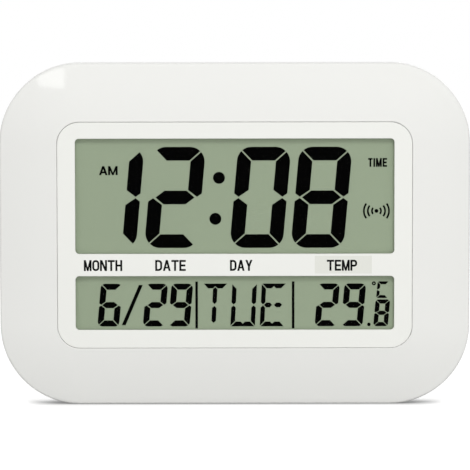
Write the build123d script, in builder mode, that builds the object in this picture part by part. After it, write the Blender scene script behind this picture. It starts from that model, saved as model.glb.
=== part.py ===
from build123d import *
import os
from math import cos, hypot, radians, sin, sqrt, tan

os.makedirs("parts", exist_ok=True)

# Digital wall clock, in millimetres. X is to the right as seen from the front, Z is up,
# the front faces -Y and the wall is the plane Y = 0. A depth is a distance from the wall.

# Case
case_width = 270.0
case_height = 196.6
case_depth = 28.0
case_corner_radius = 46.0
case_wall = 2.2
cut_overrun = 1.0

# Front bezel
frame_width = 33.1
frame_drop = 5.8
frame_bulge = 0.7
frame_thickness = 2.6
frame_edge_radius = 0.4
rim_radius = 1.6
skirt_end = 9.0
ledge_width = 4.5
ledge_thickness = 1.8

# Face panel
panel_thickness = 1.9
panel_setback = 0.1
panel_gap = 0.2
panel_edge_radius = 0.3
window_side_margin = 10.45
window_top_margin = 9.6
window_bottom_margin = 10.6
window_strip = 12.8
lower_window_height = 31.1
window_corner_radius = 2.2

# Display stack
gasket_thickness = 0.6
gasket_setback = 0.35
glass_thickness = 1.1
glass_margin = 4.4
glass_clearance = 0.3
segment_thickness = 0.15
reflector_thickness = 0.25
contact_ledge = 3.0
connector_thickness = 2.0
connector_margin = 8.0
connector_slot_clearance = 0.4

# Time digits
digit_slant_share = 0.0885
stroke_shoulder_share = 0.3
stroke_tip_share = 0.33
time_top_margin = 5.0
time_bottom_margin = 3.15
time_digit_width_share = 0.1665
time_upright_share = 0.266
time_bar = 7.8
time_corner_radius = 8.4
time_gap = 0.78
time_place_shares = (-0.3798, -0.1873, 0.0804, 0.2722)
colon_radius = 3.4
colon_place_share = -0.0548
colon_height_shares = (0.194, -0.212)

# Calendar row
calendar_top_margin = 4.75
calendar_bottom_margin = 1.65
calendar_digit_width_share = 0.0681
calendar_upright_share = 0.282
calendar_bar = 3.45
calendar_corner_radius = 2.9
calendar_gap = 0.5
calendar_place_shares = (-0.3926, -0.2499, -0.1706, 0.2903, 0.3729)
slash_place_share = -0.3226
slash_width = 2.2
slash_height_share = 0.94
slash_slope_share = 0.428
divider_place_shares = (-0.1202, 0.1832)
divider_width = 1.45
divider_overreach = 1.2
letter_place_shares = (-0.0642, 0.0276, 0.12)
letter_width_share = 0.0771
letter_upright_share = 0.18
letter_bar = 2.7
letter_gap = 0.55
letter_slant_share = 0.05
tenths_place_share = 0.4617
tenths_height = 15.4
tenths_width_share = 0.0459
tenths_upright_share = 0.31
tenths_bar = 2.35
tenths_corner_radius = 1.8
tenths_gap = 0.36
point_place_share = 0.4216
point_radius = 1.0
unit_place_share = 0.4646
unit_height = 9.6
unit_spacing = 0.9
unit_width_share = 0.036
unit_stroke = 1.65
unit_corner_radius = 1.0
degree_radius = 1.15
degree_stroke = 0.75
degree_spacing = 1.8

# Display holder
holder_thickness = 2.4
holder_lip = 10.0
holder_side_border = 11.5
holder_end_border = 6.5
holder_corner_radius = 6.0
holder_bar_height = 9.0
holder_boss_offset = 8.0
holder_boss_height = 35.0
holder_boss_radius = 3.0

# Small screws of the holder and the boards
small_head_radius = 2.2
small_head_height = 1.3
small_shank_radius = 1.1
small_shank_length = 4.2
small_pilot_clearance = 0.2
screw_clearance = 0.15
thread_clearance = 0.04
drive_width = 0.7
drive_depth = 0.8

# Main board and what is soldered to it
board_standoff = 1.0
board_thickness = 1.6
board_side_inset = 18.5
board_edge = 4.0
post_radius = 3.0
post_side_inset = 5.0
chip_size = 14.0
chip_height = 1.8
receiver_length = 10.0
receiver_width = 6.0
receiver_height = 1.6
receiver_place = -30.0
crystal_radius = 1.5
crystal_length = 8.0
crystal_place = 18.0
capacitor_radius = 4.0
capacitor_height = 6.5
capacitor_place = 36.0
sensor_radius = 1.4
sensor_lead_radius = 0.3
sensor_lead_spacing = 1.6
sensor_reach = 8.0
sensor_inset = 7.0

# Rear cover
tray_inset = 6.0
tray_draft = 3.0
tray_edge_radius = 1.4
flange_thickness = 2.0
flange_clearance = 0.3
box_wall = 1.6

# Case screws
case_boss_inset = 17.0
case_boss_radius = 3.6
well_radius = 3.6
well_wall = 1.6
well_floor = 2.0
case_head_radius = 2.9
case_head_height = 2.0
case_shank_radius = 1.45
case_shank_length = 10.0
case_pilot_clearance = 1.0

# Keyhole
keyhole_drop = 27.0
keyhole_radius = 4.5
keyhole_slot_width = 4.6
keyhole_rise = 8.0
keyhole_pocket_margin = 3.0
keyhole_pocket_depth = 7.0

# Battery box and its door
battery_height = 26.0
cell_radius_share = 0.2536
cell_length = 49.2
cell_edge_radius = 0.6
nub_radius = 2.75
nub_length = 1.3
cell_clearance = 0.25
cell_spacing = 0.6
contact_thickness = 0.5
contact_width = 11.0
spring_length = 4.5
spring_base_radius = 4.2
spring_tip_radius = 2.6
spring_bore_radius = 1.6
door_recess = 0.5
door_thickness = 2.0
door_lip = 3.0
door_gap = 0.35
door_seat_clearance = 0.1
door_corner_radius = 2.0
door_frame_border = 3.4
door_frame_depth = 4.4
door_pin_radius = 0.8
door_pin_length = 2.0
door_grip_width = 18.0
door_grip_height = 1.4
door_grip_depth = 0.6
door_grip_pitch = 2.8
door_grip_count = 3
pin_clearance = 0.06
pin_end_clearance = 0.3
finger_notch_width = 16.0
finger_notch_height = 6.0
finger_notch_depth = 1.2

# Desk stand
stand_width = 56.0
stand_foot_width = 46.0
stand_thickness = 4.0
stand_recess = 0.6
stand_gap = 0.4
stand_seat_clearance = 0.1
stand_hinge_drop = 9.0
stand_heel = 4.5
stand_angle = 30.0
stand_pin_radius = 1.6
stand_pin_length = 3.0
stand_socket_height = 9.0
stand_socket_width = 5.0
stand_foot_setback = 1.0
stand_foot_radius = 6.0
stand_panel_margin = 8.0
stand_panel_depth = 0.8
stand_panel_radius = 3.0

# Buttons and their board
button_names = ["set", "up", "mode", "down", "alarm", "wave"]
button_field_height = 25.0
button_field_width = 48.0
button_field_length = 58.0
button_field_recess = 2.0
button_field_radius = 4.0
button_columns = 2
button_rows = 3
button_column_pitch = 22.0
button_row_pitch = 17.0
button_radius = 4.2
button_recess = 0.5
button_edge_radius = 0.5
button_clearance = 0.2
button_flange_width = 1.0
button_flange_thickness = 1.0
button_flange_gap = 0.1
button_stem_radius = 1.8
button_stem_length = 0.8
button_travel = 0.5
button_post_inset = 5.0
button_post_radius = 2.6
plunger_radius = 1.7
plunger_reach = 0.8
plunger_depth = 0.8
plunger_clearance = 0.1
switch_width = 6.0
switch_height = 3.5

# Buzzer, sound holes and vents
buzzer_height = 25.0
buzzer_radius = 12.0
buzzer_thickness = 6.0
buzzer_ring_wall = 1.4
buzzer_ring_height = 4.0
buzzer_clearance = 0.2
sound_hole_radius = 0.9
sound_ring_pitch = 3.2
sound_ring_counts = (6, 12)
vent_width = 1.8
vent_length = 18.0
vent_pitch = 4.6
vent_count = 5

# Aerial
rod_radius = 4.0
rod_length = 56.0
rod_drop = 22.0
rod_depth = 9.0
coil_radius = 5.4
coil_length = 26.0
coil_clearance = 0.05
saddle_width = 4.0
saddle_wall = 1.8
saddle_inset = 3.0
saddle_clearance = 0.1

# Depths of the front stack
panel_back = case_depth - panel_setback - panel_thickness
gasket_back = panel_back - gasket_thickness
front_glass_back = gasket_back - glass_thickness
segment_back = front_glass_back - segment_thickness
rear_glass_back = segment_back - glass_thickness
reflector_back = rear_glass_back - reflector_thickness
holder_back = reflector_back - holder_thickness
board_front = holder_back - board_standoff
board_back = board_front - board_thickness
ledge_back = panel_back - ledge_thickness
rim_depth = case_depth - frame_drop
boss_top = skirt_end + flange_thickness

# Face panel and its windows
panel_width = case_width - 2 * frame_width - 2 * panel_gap
panel_height = case_height - 2 * frame_width - 2 * panel_gap
panel_corner_radius = case_corner_radius - frame_width - panel_gap
window_width = case_width - 2 * frame_width - 2 * window_side_margin
windows_top = case_height / 2 - frame_width - window_top_margin
windows_bottom = frame_width + window_bottom_margin - case_height / 2
upper_window_height = windows_top - windows_bottom - window_strip - lower_window_height
upper_window_z = windows_top - upper_window_height / 2
lower_window_z = windows_bottom + lower_window_height / 2
strip_z = windows_bottom + lower_window_height + window_strip / 2

# Display glass
glass_width = window_width + 2 * glass_margin
glass_height = windows_top - windows_bottom + 2 * glass_margin
glass_z = (windows_top + windows_bottom) / 2
glass_bottom = glass_z - glass_height / 2
connector_length = glass_width - 2 * connector_margin
connector_z = glass_bottom + contact_ledge / 2

# Display holder and main board
holder_boss_x = glass_width / 2 + holder_boss_offset
holder_screw_places = [(x, z) for x in (-holder_boss_x, holder_boss_x)
                       for z in (-holder_boss_height, holder_boss_height)]
board_width = glass_width - 2 * board_side_inset
board_bottom = glass_bottom - board_edge
board_top = strip_z + holder_bar_height / 2
board_z = (board_top + board_bottom) / 2
post_x = board_width / 2 - post_side_inset
lower_post_z = glass_bottom + (contact_ledge + holder_lip) / 2
board_screw_places = [(x, z) for x in (-post_x, post_x) for z in (lower_post_z, strip_z)]
sensor_x = board_width / 2 - sensor_inset

# Case screws, on a line inside the outline
corner_x = case_width / 2 - case_corner_radius
corner_z = case_height / 2 - case_corner_radius
boss_diagonal = (case_corner_radius - case_boss_inset) / sqrt(2)
case_screw_places = [(sx * (corner_x + boss_diagonal), sz * (corner_z + boss_diagonal))
                     for sx in (-1, 1) for sz in (-1, 1)]
side_screw_x = case_width / 2 - case_boss_inset
case_screw_places += [(side * side_screw_x, 0) for side in (-1, 1)]
well_outer_radius = well_radius + well_wall

# Rear cover tray
tray_half_width = case_width / 2 - tray_inset
tray_half_height = case_height / 2 - tray_inset
tray_corner_radius = case_corner_radius - tray_inset
tray_lean = skirt_end * tan(radians(tray_draft))
tray_inner_lean = (skirt_end - case_wall) * tan(radians(tray_draft)) + case_wall
flange_inset = case_wall + flange_clearance
tray_back_bottom = tray_lean - tray_half_height

# Keyhole and the pocket behind it
keyhole_z = case_height / 2 - keyhole_drop
keyhole_slot_top = keyhole_z + keyhole_rise
pocket_bottom = keyhole_z - keyhole_radius - keyhole_pocket_margin
pocket_top = keyhole_slot_top + keyhole_slot_width / 2 + keyhole_pocket_margin
pocket_width = 2 * (keyhole_radius + keyhole_pocket_margin)
pocket_floor = case_wall + keyhole_pocket_depth

# Battery box
cell_radius = cell_radius_share * case_depth
door_inner_depth = door_recess + door_thickness
cell_axis_depth = door_inner_depth + door_seat_clearance + cell_clearance + cell_radius
cavity_floor = cell_axis_depth + cell_radius + cell_clearance
cavity_length = 2 * contact_thickness + nub_length + cell_length + spring_length
cavity_height = 4 * cell_radius + cell_spacing + 2 * cell_clearance
cell_offset = cell_radius + cell_spacing / 2
upper_cell_z = battery_height + cell_offset
lower_cell_z = battery_height - cell_offset
door_width = cavity_length + 2 * door_lip
door_height = cavity_height + 2 * door_lip
door_bottom = battery_height - door_height / 2
door_hinge_z = battery_height + door_height / 2 - door_thickness / 2
door_hinge_depth = door_recess + door_thickness / 2

# Desk stand
stand_hinge_z = -stand_hinge_drop
stand_hinge_depth = stand_recess + stand_thickness / 2
stand_foot_z = tray_back_bottom + stand_foot_setback
stand_face_sweep = stand_thickness / 2 / cos(radians(stand_angle))
stand_floor = stand_hinge_depth + stand_face_sweep + stand_seat_clearance
stand_recess_top = stand_hinge_z + hypot(stand_heel, stand_thickness / 2) + stand_gap
stand_recess_width = stand_width + 2 * stand_gap
heel_sweep = stand_thickness / 2 * cos(radians(stand_angle)) + stand_heel * sin(radians(stand_angle))
heel_floor = stand_hinge_depth + heel_sweep + stand_gap / 2

# Button field and buzzer, midway between the frame of the battery door and the side screws
door_frame_width = door_width + 2 * door_frame_border
side_place = (door_frame_width / 2 + side_screw_x - well_outer_radius) / 2
button_field_x = -side_place
buzzer_x = side_place

# Buttons, from the cap at the back to the board
button_places = [(button_field_x + (column - (button_columns - 1) / 2) * button_column_pitch,
                  button_field_height - (row - (button_rows - 1) / 2) * button_row_pitch)
                 for row in range(button_rows) for column in range(button_columns)]
field_inner = button_field_recess + case_wall
flange_back = field_inner + button_flange_gap
flange_front = flange_back + button_flange_thickness
stem_front = flange_front + button_stem_length
switch_back = stem_front + plunger_reach
switch_front = switch_back + switch_height
switch_bore_depth = plunger_depth + button_travel + plunger_clearance
button_post_x = button_field_width / 2 - button_post_inset
button_post_z = button_field_length / 2 - button_post_inset
button_screw_places = [(button_field_x + side * button_post_x, button_field_height + side * button_post_z)
                       for side in (-1, 1)]

# Aerial, midway between the keyhole pocket and the upper screw
rod_z = case_height / 2 - rod_drop
rod_x = (pocket_width / 2 + box_wall + corner_x + boss_diagonal - well_outer_radius) / 2
rod_start = rod_x - rod_length / 2
saddle_places = (rod_start + saddle_inset, rod_start + rod_length - saddle_inset - saddle_width)


def wall_plane(depth):
    """Plane parallel to the wall that faces the front: its x is X and its y is Z."""
    return Plane.XZ.offset(depth)


def side_plane(x):
    """Plane square to X: its x is Y, which is minus the depth, and its y is Z."""
    return Plane.YZ.offset(x)


def keep(piece, name):
    """Label a finished piece and write it."""
    piece.part.label = name
    export_step(piece.part, f"parts/{name}.step")


def frame_section(plane):
    """Bezel section: x runs outwards from the corner axis and y is minus the depth."""
    panel_edge = case_corner_radius - frame_width
    front_edge = (panel_edge, -case_depth)
    rim_edge = (case_corner_radius, -rim_depth)
    skirt_inside = case_corner_radius - case_wall
    with BuildSketch(plane) as section:
        with BuildLine():
            SagittaArc(front_edge, rim_edge, -frame_bulge)
            Polyline(
                rim_edge,
                (case_corner_radius, -skirt_end),
                (skirt_inside, -skirt_end),
                (skirt_inside, frame_thickness - rim_depth),
                (panel_edge, -ledge_back),
                (panel_edge - ledge_width, -ledge_back),
                (panel_edge - ledge_width, -panel_back),
                (panel_edge, -panel_back),
                front_edge,
            )
        make_face()
        fillet(section.vertices().group_by(Axis.X)[-1].sort_by(Axis.Y)[0], rim_radius)
        fillet(section.vertices().sort_by(Axis.Y)[0], frame_edge_radius)
    return section.sketch


def slanted(points, place, slant_share=digit_slant_share):
    """Lean upright points about mid height and move them to their place."""
    return [(place[0] + x + slant_share * z, place[1] + z) for x, z in points]


def flip(points, x_sign, z_sign):
    """Mirror points left to right or top to bottom."""
    return [(x_sign * x, z_sign * z) for x, z in points]


def digit_strokes(width, height, upright, bar, gap):
    """The seven strokes of a digit about its centre, under their usual letters."""
    right = width / 2
    inner = right - upright
    top = height / 2
    under = top - bar
    mitre = gap / sqrt(2)
    upper_bar = [(mitre - right, top), (right - mitre, top), (inner - mitre, under), (mitre - inner, under)]
    upper_right = [
        (right, top - mitre),
        (inner, under - mitre),
        (inner, (bar + gap) / 2),
        (right - stroke_tip_share * upright, gap / 2),
        (right, stroke_shoulder_share * bar),
    ]
    middle_bar = [
        (right - upright / 2, 0),
        (inner - gap, bar / 2),
        (gap - inner, bar / 2),
        (upright / 2 - right, 0),
        (gap - inner, -bar / 2),
        (inner - gap, -bar / 2),
    ]
    return {
        "a": upper_bar,
        "b": upper_right,
        "c": flip(upper_right, 1, -1),
        "d": flip(upper_bar, 1, -1),
        "e": flip(upper_right, -1, -1),
        "f": flip(upper_right, -1, 1),
        "g": middle_bar,
    }


def digit_face(lit, place, width, height, upright, bar, gap, corner_radius):
    """The lit strokes of a digit inside its rounded, slanted outline."""
    strokes = digit_strokes(width, height, upright, bar, gap)
    right = width / 2
    top = height / 2
    corners = [(right, top), (-right, top), (-right, -top), (right, -top)]
    with BuildSketch(wall_plane(segment_back)) as face:
        for name in lit:
            Polygon(*slanted(strokes[name], place), align=None)
        with BuildLine():
            FilletPolyline(*slanted(corners, place), radius=corner_radius, close=True)
        make_face(mode=Mode.INTERSECT)
    return face.sketch


def letter_strokes(width, height, upright, bar, gap):
    """The strokes of a letter about its centre: bars, uprights, stems and half bars."""
    right = width / 2
    inner = right - upright
    middle = right - upright / 2
    top = height / 2
    under = top - bar
    mitre = gap / sqrt(2)
    notch = upright / 2
    shoulder = (upright + gap) / 2
    upper_bar = [
        (mitre - right, top),
        (right - mitre, top),
        (inner - mitre, under),
        (notch, under),
        (0, under + notch),
        (-notch, under),
        (mitre - inner, under),
    ]
    upper_right = [
        (right, top - mitre),
        (inner, under - mitre),
        (inner, shoulder),
        (middle, gap / 2),
        (right, shoulder),
    ]
    upper_stem = [
        (0, under + notch - gap),
        (notch, under - gap),
        (notch, shoulder + gap / 2),
        (0, gap),
        (-notch, shoulder + gap / 2),
        (-notch, under - gap),
    ]
    right_half = [
        (gap, 0),
        (gap + bar / 2, bar / 2),
        (middle - gap - bar / 2, bar / 2),
        (middle - gap, 0),
        (middle - gap - bar / 2, -bar / 2),
        (gap + bar / 2, -bar / 2),
    ]
    return {
        "top": upper_bar,
        "bottom": flip(upper_bar, 1, -1),
        "upper_right": upper_right,
        "upper_left": flip(upper_right, -1, 1),
        "lower_right": flip(upper_right, 1, -1),
        "lower_left": flip(upper_right, -1, -1),
        "upper_stem": upper_stem,
        "lower_stem": flip(upper_stem, 1, -1),
        "right_half": right_half,
        "left_half": flip(right_half, -1, 1),
    }


def make_screws(name, places, seat, front_sign, head_radius, head_height, shank_radius, shank_length):
    """Screws whose heads bear on the seat depth: front_sign 1 drives them to the front, -1 to the wall."""
    outer = seat - front_sign * head_height
    with BuildPart() as screws:
        with BuildSketch(wall_plane(seat)):
            with Locations(*places):
                Circle(head_radius)
        extrude(amount=-front_sign * head_height)
        with BuildSketch(wall_plane(seat)):
            with Locations(*places):
                Circle(shank_radius)
        extrude(amount=front_sign * shank_length)
        with BuildSketch(wall_plane(outer)):
            with Locations(*places):
                Rectangle(2 * shank_radius, drive_width)
                Rectangle(drive_width, 2 * shank_radius)
        extrude(amount=front_sign * drive_depth, mode=Mode.SUBTRACT)
    keep(screws, name)


def make_cell(name, side, z):
    """One battery cell along X; its nub points to the side -1 or 1."""
    nub_start = side * (cavity_length / 2 - contact_thickness - nub_length)
    with BuildPart() as cell:
        with BuildSketch(side_plane(nub_start)):
            with Locations((-cell_axis_depth, z)):
                Circle(cell_radius)
        extrude(amount=-side * cell_length)
        fillet(cell.edges().filter_by(GeomType.CIRCLE), cell_edge_radius)
        with BuildSketch(side_plane(nub_start)):
            with Locations((-cell_axis_depth, z)):
                Circle(nub_radius)
        extrude(amount=side * nub_length)
    keep(cell, name)


def make_contact(name, side, z, height):
    """One contact plate against an end wall of the battery box."""
    with BuildPart() as contact:
        with BuildSketch(side_plane(side * cavity_length / 2)):
            with Locations((-cell_axis_depth, z)):
                Rectangle(contact_width, height)
        extrude(amount=-side * contact_thickness)
    keep(contact, name)


# Front bezel: one quarter of the ring is made and mirrored, then its bosses are added
right_section_plane = Plane(origin=(corner_x, 0, corner_z), x_dir=(1, 0, 0), z_dir=(0, 0, 1))
top_section_plane = Plane(origin=(corner_x, 0, corner_z), x_dir=(0, 0, 1), z_dir=(-1, 0, 0))
corner_axis = Axis((corner_x, 0, corner_z), (0, -1, 0))
right_section = frame_section(right_section_plane)
top_section = frame_section(top_section_plane)
frame_slope_share = frame_drop / frame_width
case_boss_root = case_depth - frame_slope_share * (frame_width - case_boss_inset) - frame_thickness / 2
holder_boss_root = (ledge_back + panel_back) / 2
case_pilot_depth = case_shank_length - well_floor + case_pilot_clearance
holder_pilot_depth = small_shank_length - holder_thickness + small_pilot_clearance

with BuildPart() as front_bezel:
    revolve(right_section, axis=corner_axis, revolution_arc=90)
    extrude(right_section, amount=-corner_z)
    extrude(top_section, amount=corner_x)
    mirror(about=Plane.YZ)
    mirror(about=Plane.XY)
    with BuildSketch(wall_plane(ledge_back - cut_overrun)):
        with Locations((0, glass_z)):
            Rectangle(glass_width + 2 * glass_clearance, glass_height + 2 * glass_clearance)
    extrude(amount=ledge_thickness + 2 * cut_overrun, mode=Mode.SUBTRACT)
    with BuildSketch(wall_plane(boss_top)):
        with Locations(*case_screw_places):
            Circle(case_boss_radius)
    extrude(amount=case_boss_root - boss_top)
    with BuildSketch(wall_plane(boss_top)):
        with Locations(*case_screw_places):
            Circle(case_shank_radius + thread_clearance)
    extrude(amount=case_pilot_depth, mode=Mode.SUBTRACT)
    with BuildSketch(wall_plane(reflector_back)):
        with Locations(*holder_screw_places):
            Circle(holder_boss_radius)
    extrude(amount=holder_boss_root - reflector_back)
    with BuildSketch(wall_plane(reflector_back)):
        with Locations(*holder_screw_places):
            Circle(small_shank_radius + thread_clearance)
    extrude(amount=holder_pilot_depth, mode=Mode.SUBTRACT)
keep(front_bezel, "front_bezel")

# Face panel with its two windows
with BuildPart() as face_panel:
    with BuildSketch(wall_plane(panel_back)):
        RectangleRounded(panel_width, panel_height, panel_corner_radius)
        with Locations((0, upper_window_z)):
            RectangleRounded(window_width, upper_window_height, window_corner_radius, mode=Mode.SUBTRACT)
        with Locations((0, lower_window_z)):
            RectangleRounded(window_width, lower_window_height, window_corner_radius, mode=Mode.SUBTRACT)
    extrude(amount=panel_thickness)
    fillet(face_panel.faces().sort_by(Axis.Y)[0].edges(), panel_edge_radius)
keep(face_panel, "face_panel")

# Dust gasket between the panel and the glass
with BuildPart() as dust_gasket:
    with BuildSketch(wall_plane(gasket_back)):
        with Locations((0, glass_z)):
            Rectangle(glass_width, glass_height)
        with Locations((0, upper_window_z)):
            Rectangle(window_width + 2 * gasket_setback, upper_window_height + 2 * gasket_setback,
                      mode=Mode.SUBTRACT)
        with Locations((0, lower_window_z)):
            Rectangle(window_width + 2 * gasket_setback, lower_window_height + 2 * gasket_setback,
                      mode=Mode.SUBTRACT)
    extrude(amount=gasket_thickness)
keep(dust_gasket, "dust_gasket")

# Display: front glass, rear glass and reflector
with BuildPart() as display_front_glass:
    with BuildSketch(wall_plane(front_glass_back)):
        with Locations((0, glass_z)):
            Rectangle(glass_width, glass_height)
    extrude(amount=glass_thickness)
keep(display_front_glass, "display_front_glass")

with BuildPart() as display_rear_glass:
    with BuildSketch(wall_plane(rear_glass_back)):
        with Locations((0, glass_z + contact_ledge / 2)):
            Rectangle(glass_width, glass_height - contact_ledge)
    extrude(amount=glass_thickness)
keep(display_rear_glass, "display_rear_glass")

with BuildPart() as display_reflector:
    with BuildSketch(wall_plane(reflector_back)):
        with Locations((0, glass_z + contact_ledge / 2)):
            Rectangle(glass_width, glass_height - contact_ledge)
    extrude(amount=reflector_thickness)
keep(display_reflector, "display_reflector")

# Time digits and colon between the glasses
time_digit_width = time_digit_width_share * window_width
time_upright = time_upright_share * time_digit_width
time_height = upper_window_height - time_top_margin - time_bottom_margin
time_z = windows_top - time_top_margin - time_height / 2
time_lit = ("bc", "abged", "abcdef", "abcdefg")

with BuildPart() as time_segments:
    for share, lit in zip(time_place_shares, time_lit):
        extrude(
            digit_face(lit, (share * window_width, time_z), time_digit_width, time_height,
                       time_upright, time_bar, time_gap, time_corner_radius),
            amount=segment_thickness,
        )
    colon_points = [(0, share * time_height) for share in colon_height_shares]
    with BuildSketch(wall_plane(segment_back)):
        with Locations(*slanted(colon_points, (colon_place_share * window_width, time_z))):
            Circle(colon_radius)
    extrude(amount=segment_thickness)
keep(time_segments, "time_segments")

# Calendar row: date, weekday and temperature
calendar_height = lower_window_height - calendar_top_margin - calendar_bottom_margin
calendar_bottom = windows_bottom + calendar_bottom_margin
calendar_z = calendar_bottom + calendar_height / 2
calendar_lit = ("acdefg", "abged", "abcdfg", "abged", "abcdfg")
letter_lit = (
    ("top", "upper_stem", "lower_stem"),
    ("upper_left", "lower_left", "upper_right", "lower_right", "bottom"),
    ("upper_left", "lower_left", "top", "bottom", "left_half", "right_half"),
)
calendar_digit_width = calendar_digit_width_share * window_width
calendar_upright = calendar_upright_share * calendar_digit_width
letter_width = letter_width_share * window_width
letter_upright = letter_upright_share * letter_width
tenths_width = tenths_width_share * window_width
tenths_upright = tenths_upright_share * tenths_width
unit_width = unit_width_share * window_width
letters = letter_strokes(letter_width, calendar_height, letter_upright, letter_bar, letter_gap)
slash_height = slash_height_share * calendar_height
slash_run = slash_slope_share * slash_height
slash_points = [
    ((slash_run + slash_width) / 2, slash_height / 2),
    ((slash_run - slash_width) / 2, slash_height / 2),
    (-(slash_run + slash_width) / 2, -slash_height / 2),
    ((slash_width - slash_run) / 2, -slash_height / 2),
]
tenths_z = calendar_bottom + tenths_height / 2
unit_z = calendar_bottom + tenths_height + unit_spacing + unit_height / 2
tenths_x = tenths_place_share * window_width
unit_x = unit_place_share * window_width
degree_x = unit_x - unit_width / 2 - degree_spacing
degree_z = unit_z + unit_height / 2 - degree_radius

with BuildPart() as calendar_segments:
    for share, lit in zip(calendar_place_shares, calendar_lit):
        extrude(
            digit_face(lit, (share * window_width, calendar_z), calendar_digit_width, calendar_height,
                       calendar_upright, calendar_bar, calendar_gap, calendar_corner_radius),
            amount=segment_thickness,
        )
    extrude(
        digit_face("abcdefg", (tenths_x, tenths_z), tenths_width, tenths_height,
                   tenths_upright, tenths_bar, tenths_gap, tenths_corner_radius),
        amount=segment_thickness,
    )
    extrude(
        digit_face("adef", (unit_x, unit_z), unit_width, unit_height,
                   unit_stroke, unit_stroke, tenths_gap, unit_corner_radius),
        amount=segment_thickness,
    )
    with BuildSketch(wall_plane(segment_back)):
        for share, lit in zip(letter_place_shares, letter_lit):
            letter_place = (share * window_width, calendar_z)
            for name in lit:
                Polygon(*slanted(letters[name], letter_place, letter_slant_share), align=None)
        with Locations((slash_place_share * window_width, calendar_z)):
            Polygon(*slash_points, align=None)
        with Locations(*[(share * window_width, calendar_z) for share in divider_place_shares]):
            Rectangle(divider_width, calendar_height + 2 * divider_overreach)
        with Locations((point_place_share * window_width, calendar_bottom + point_radius)):
            Circle(point_radius)
        with Locations((degree_x, degree_z)):
            Circle(degree_radius)
            Circle(degree_radius - degree_stroke, mode=Mode.SUBTRACT)
    extrude(amount=segment_thickness)
keep(calendar_segments, "calendar_segments")

# Display holder: a frame with a cross bar, posts for the board and a slot for the connector strip
board_pilot_depth = small_shank_length - board_thickness + small_pilot_clearance
with BuildPart() as display_holder:
    with BuildSketch(wall_plane(holder_back)):
        with Locations((0, glass_z)):
            RectangleRounded(glass_width + 2 * holder_side_border, glass_height + 2 * holder_end_border,
                             holder_corner_radius)
            Rectangle(glass_width - 2 * holder_lip, glass_height - 2 * holder_lip, mode=Mode.SUBTRACT)
        with Locations((0, strip_z)):
            Rectangle(glass_width, holder_bar_height)
        with Locations((0, connector_z)):
            Rectangle(connector_length + 2 * connector_slot_clearance,
                      connector_thickness + 2 * connector_slot_clearance, mode=Mode.SUBTRACT)
        with Locations(*holder_screw_places):
            Circle(small_shank_radius + screw_clearance, mode=Mode.SUBTRACT)
    extrude(amount=holder_thickness)
    with BuildSketch(wall_plane(board_front)):
        with Locations(*board_screw_places):
            Circle(post_radius)
    extrude(amount=board_standoff)
    with BuildSketch(wall_plane(board_front)):
        with Locations(*board_screw_places):
            Circle(small_shank_radius + thread_clearance)
    extrude(amount=board_pilot_depth, mode=Mode.SUBTRACT)
keep(display_holder, "display_holder")
make_screws("holder_screws", holder_screw_places, holder_back, 1,
            small_head_radius, small_head_height, small_shank_radius, small_shank_length)

# Connector strip from the front glass to the board
with BuildPart() as connector_strip:
    with BuildSketch(wall_plane(board_front)):
        with Locations((0, connector_z)):
            Rectangle(connector_length, connector_thickness)
    extrude(amount=front_glass_back - board_front)
keep(connector_strip, "connector_strip")

# Main board and its components, which stand on its rear face
with BuildPart() as main_board:
    with BuildSketch(wall_plane(board_back)):
        with Locations((0, board_z)):
            Rectangle(board_width, board_top - board_bottom)
        with Locations(*board_screw_places):
            Circle(small_shank_radius + screw_clearance, mode=Mode.SUBTRACT)
    extrude(amount=board_thickness)
keep(main_board, "main_board")
make_screws("board_screws", board_screw_places, board_back, 1,
            small_head_radius, small_head_height, small_shank_radius, small_shank_length)

with BuildPart() as controller_chip:
    with BuildSketch(wall_plane(board_back)):
        with Locations((0, board_z)):
            Rectangle(chip_size, chip_size)
    extrude(amount=-chip_height)
keep(controller_chip, "controller_chip")

with BuildPart() as receiver_chip:
    with BuildSketch(wall_plane(board_back)):
        with Locations((receiver_place, board_z)):
            Rectangle(receiver_length, receiver_width)
    extrude(amount=-receiver_height)
keep(receiver_chip, "receiver_chip")

with BuildPart() as quartz_crystal:
    with BuildSketch(Plane.XY.offset(board_z - crystal_length / 2)):
        with Locations((crystal_place, crystal_radius - board_back)):
            Circle(crystal_radius)
    extrude(amount=crystal_length)
keep(quartz_crystal, "quartz_crystal")

with BuildPart() as buffer_capacitor:
    with BuildSketch(wall_plane(board_back)):
        with Locations((capacitor_place, board_z)):
            Circle(capacitor_radius)
    extrude(amount=-capacitor_height)
keep(buffer_capacitor, "buffer_capacitor")

with BuildPart() as temperature_sensor:
    with BuildSketch(wall_plane(board_back)):
        for side in (-1, 1):
            with Locations((sensor_x + side * sensor_lead_spacing / 2, board_z)):
                Circle(sensor_lead_radius)
    extrude(amount=-sensor_reach)
    with Locations((sensor_x, sensor_reach - board_back, board_z)):
        Sphere(sensor_radius)
keep(temperature_sensor, "temperature_sensor")

# Rear cover: tray and flange, then the boxes on its inner side, then every cut
sound_hole_places = [(buzzer_x, buzzer_height)]
for ring, count in enumerate(sound_ring_counts, start=1):
    for step in range(count):
        angle = radians(360 * step / count)
        sound_hole_places.append((buzzer_x + ring * sound_ring_pitch * cos(angle),
                                  buzzer_height + ring * sound_ring_pitch * sin(angle)))
vent_places = [(sensor_x + (step - (vent_count - 1) / 2) * vent_pitch, board_z) for step in range(vent_count)]
stand_box_top = stand_recess_top + box_wall
stand_box_z = (stand_box_top + tray_back_bottom) / 2
socket_x = stand_recess_width / 2 + stand_socket_width / 2
stand_bore_length = stand_width + 2 * stand_pin_length + 2 * pin_end_clearance
door_bore_length = door_width + 2 * door_pin_length + 2 * pin_end_clearance

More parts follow.
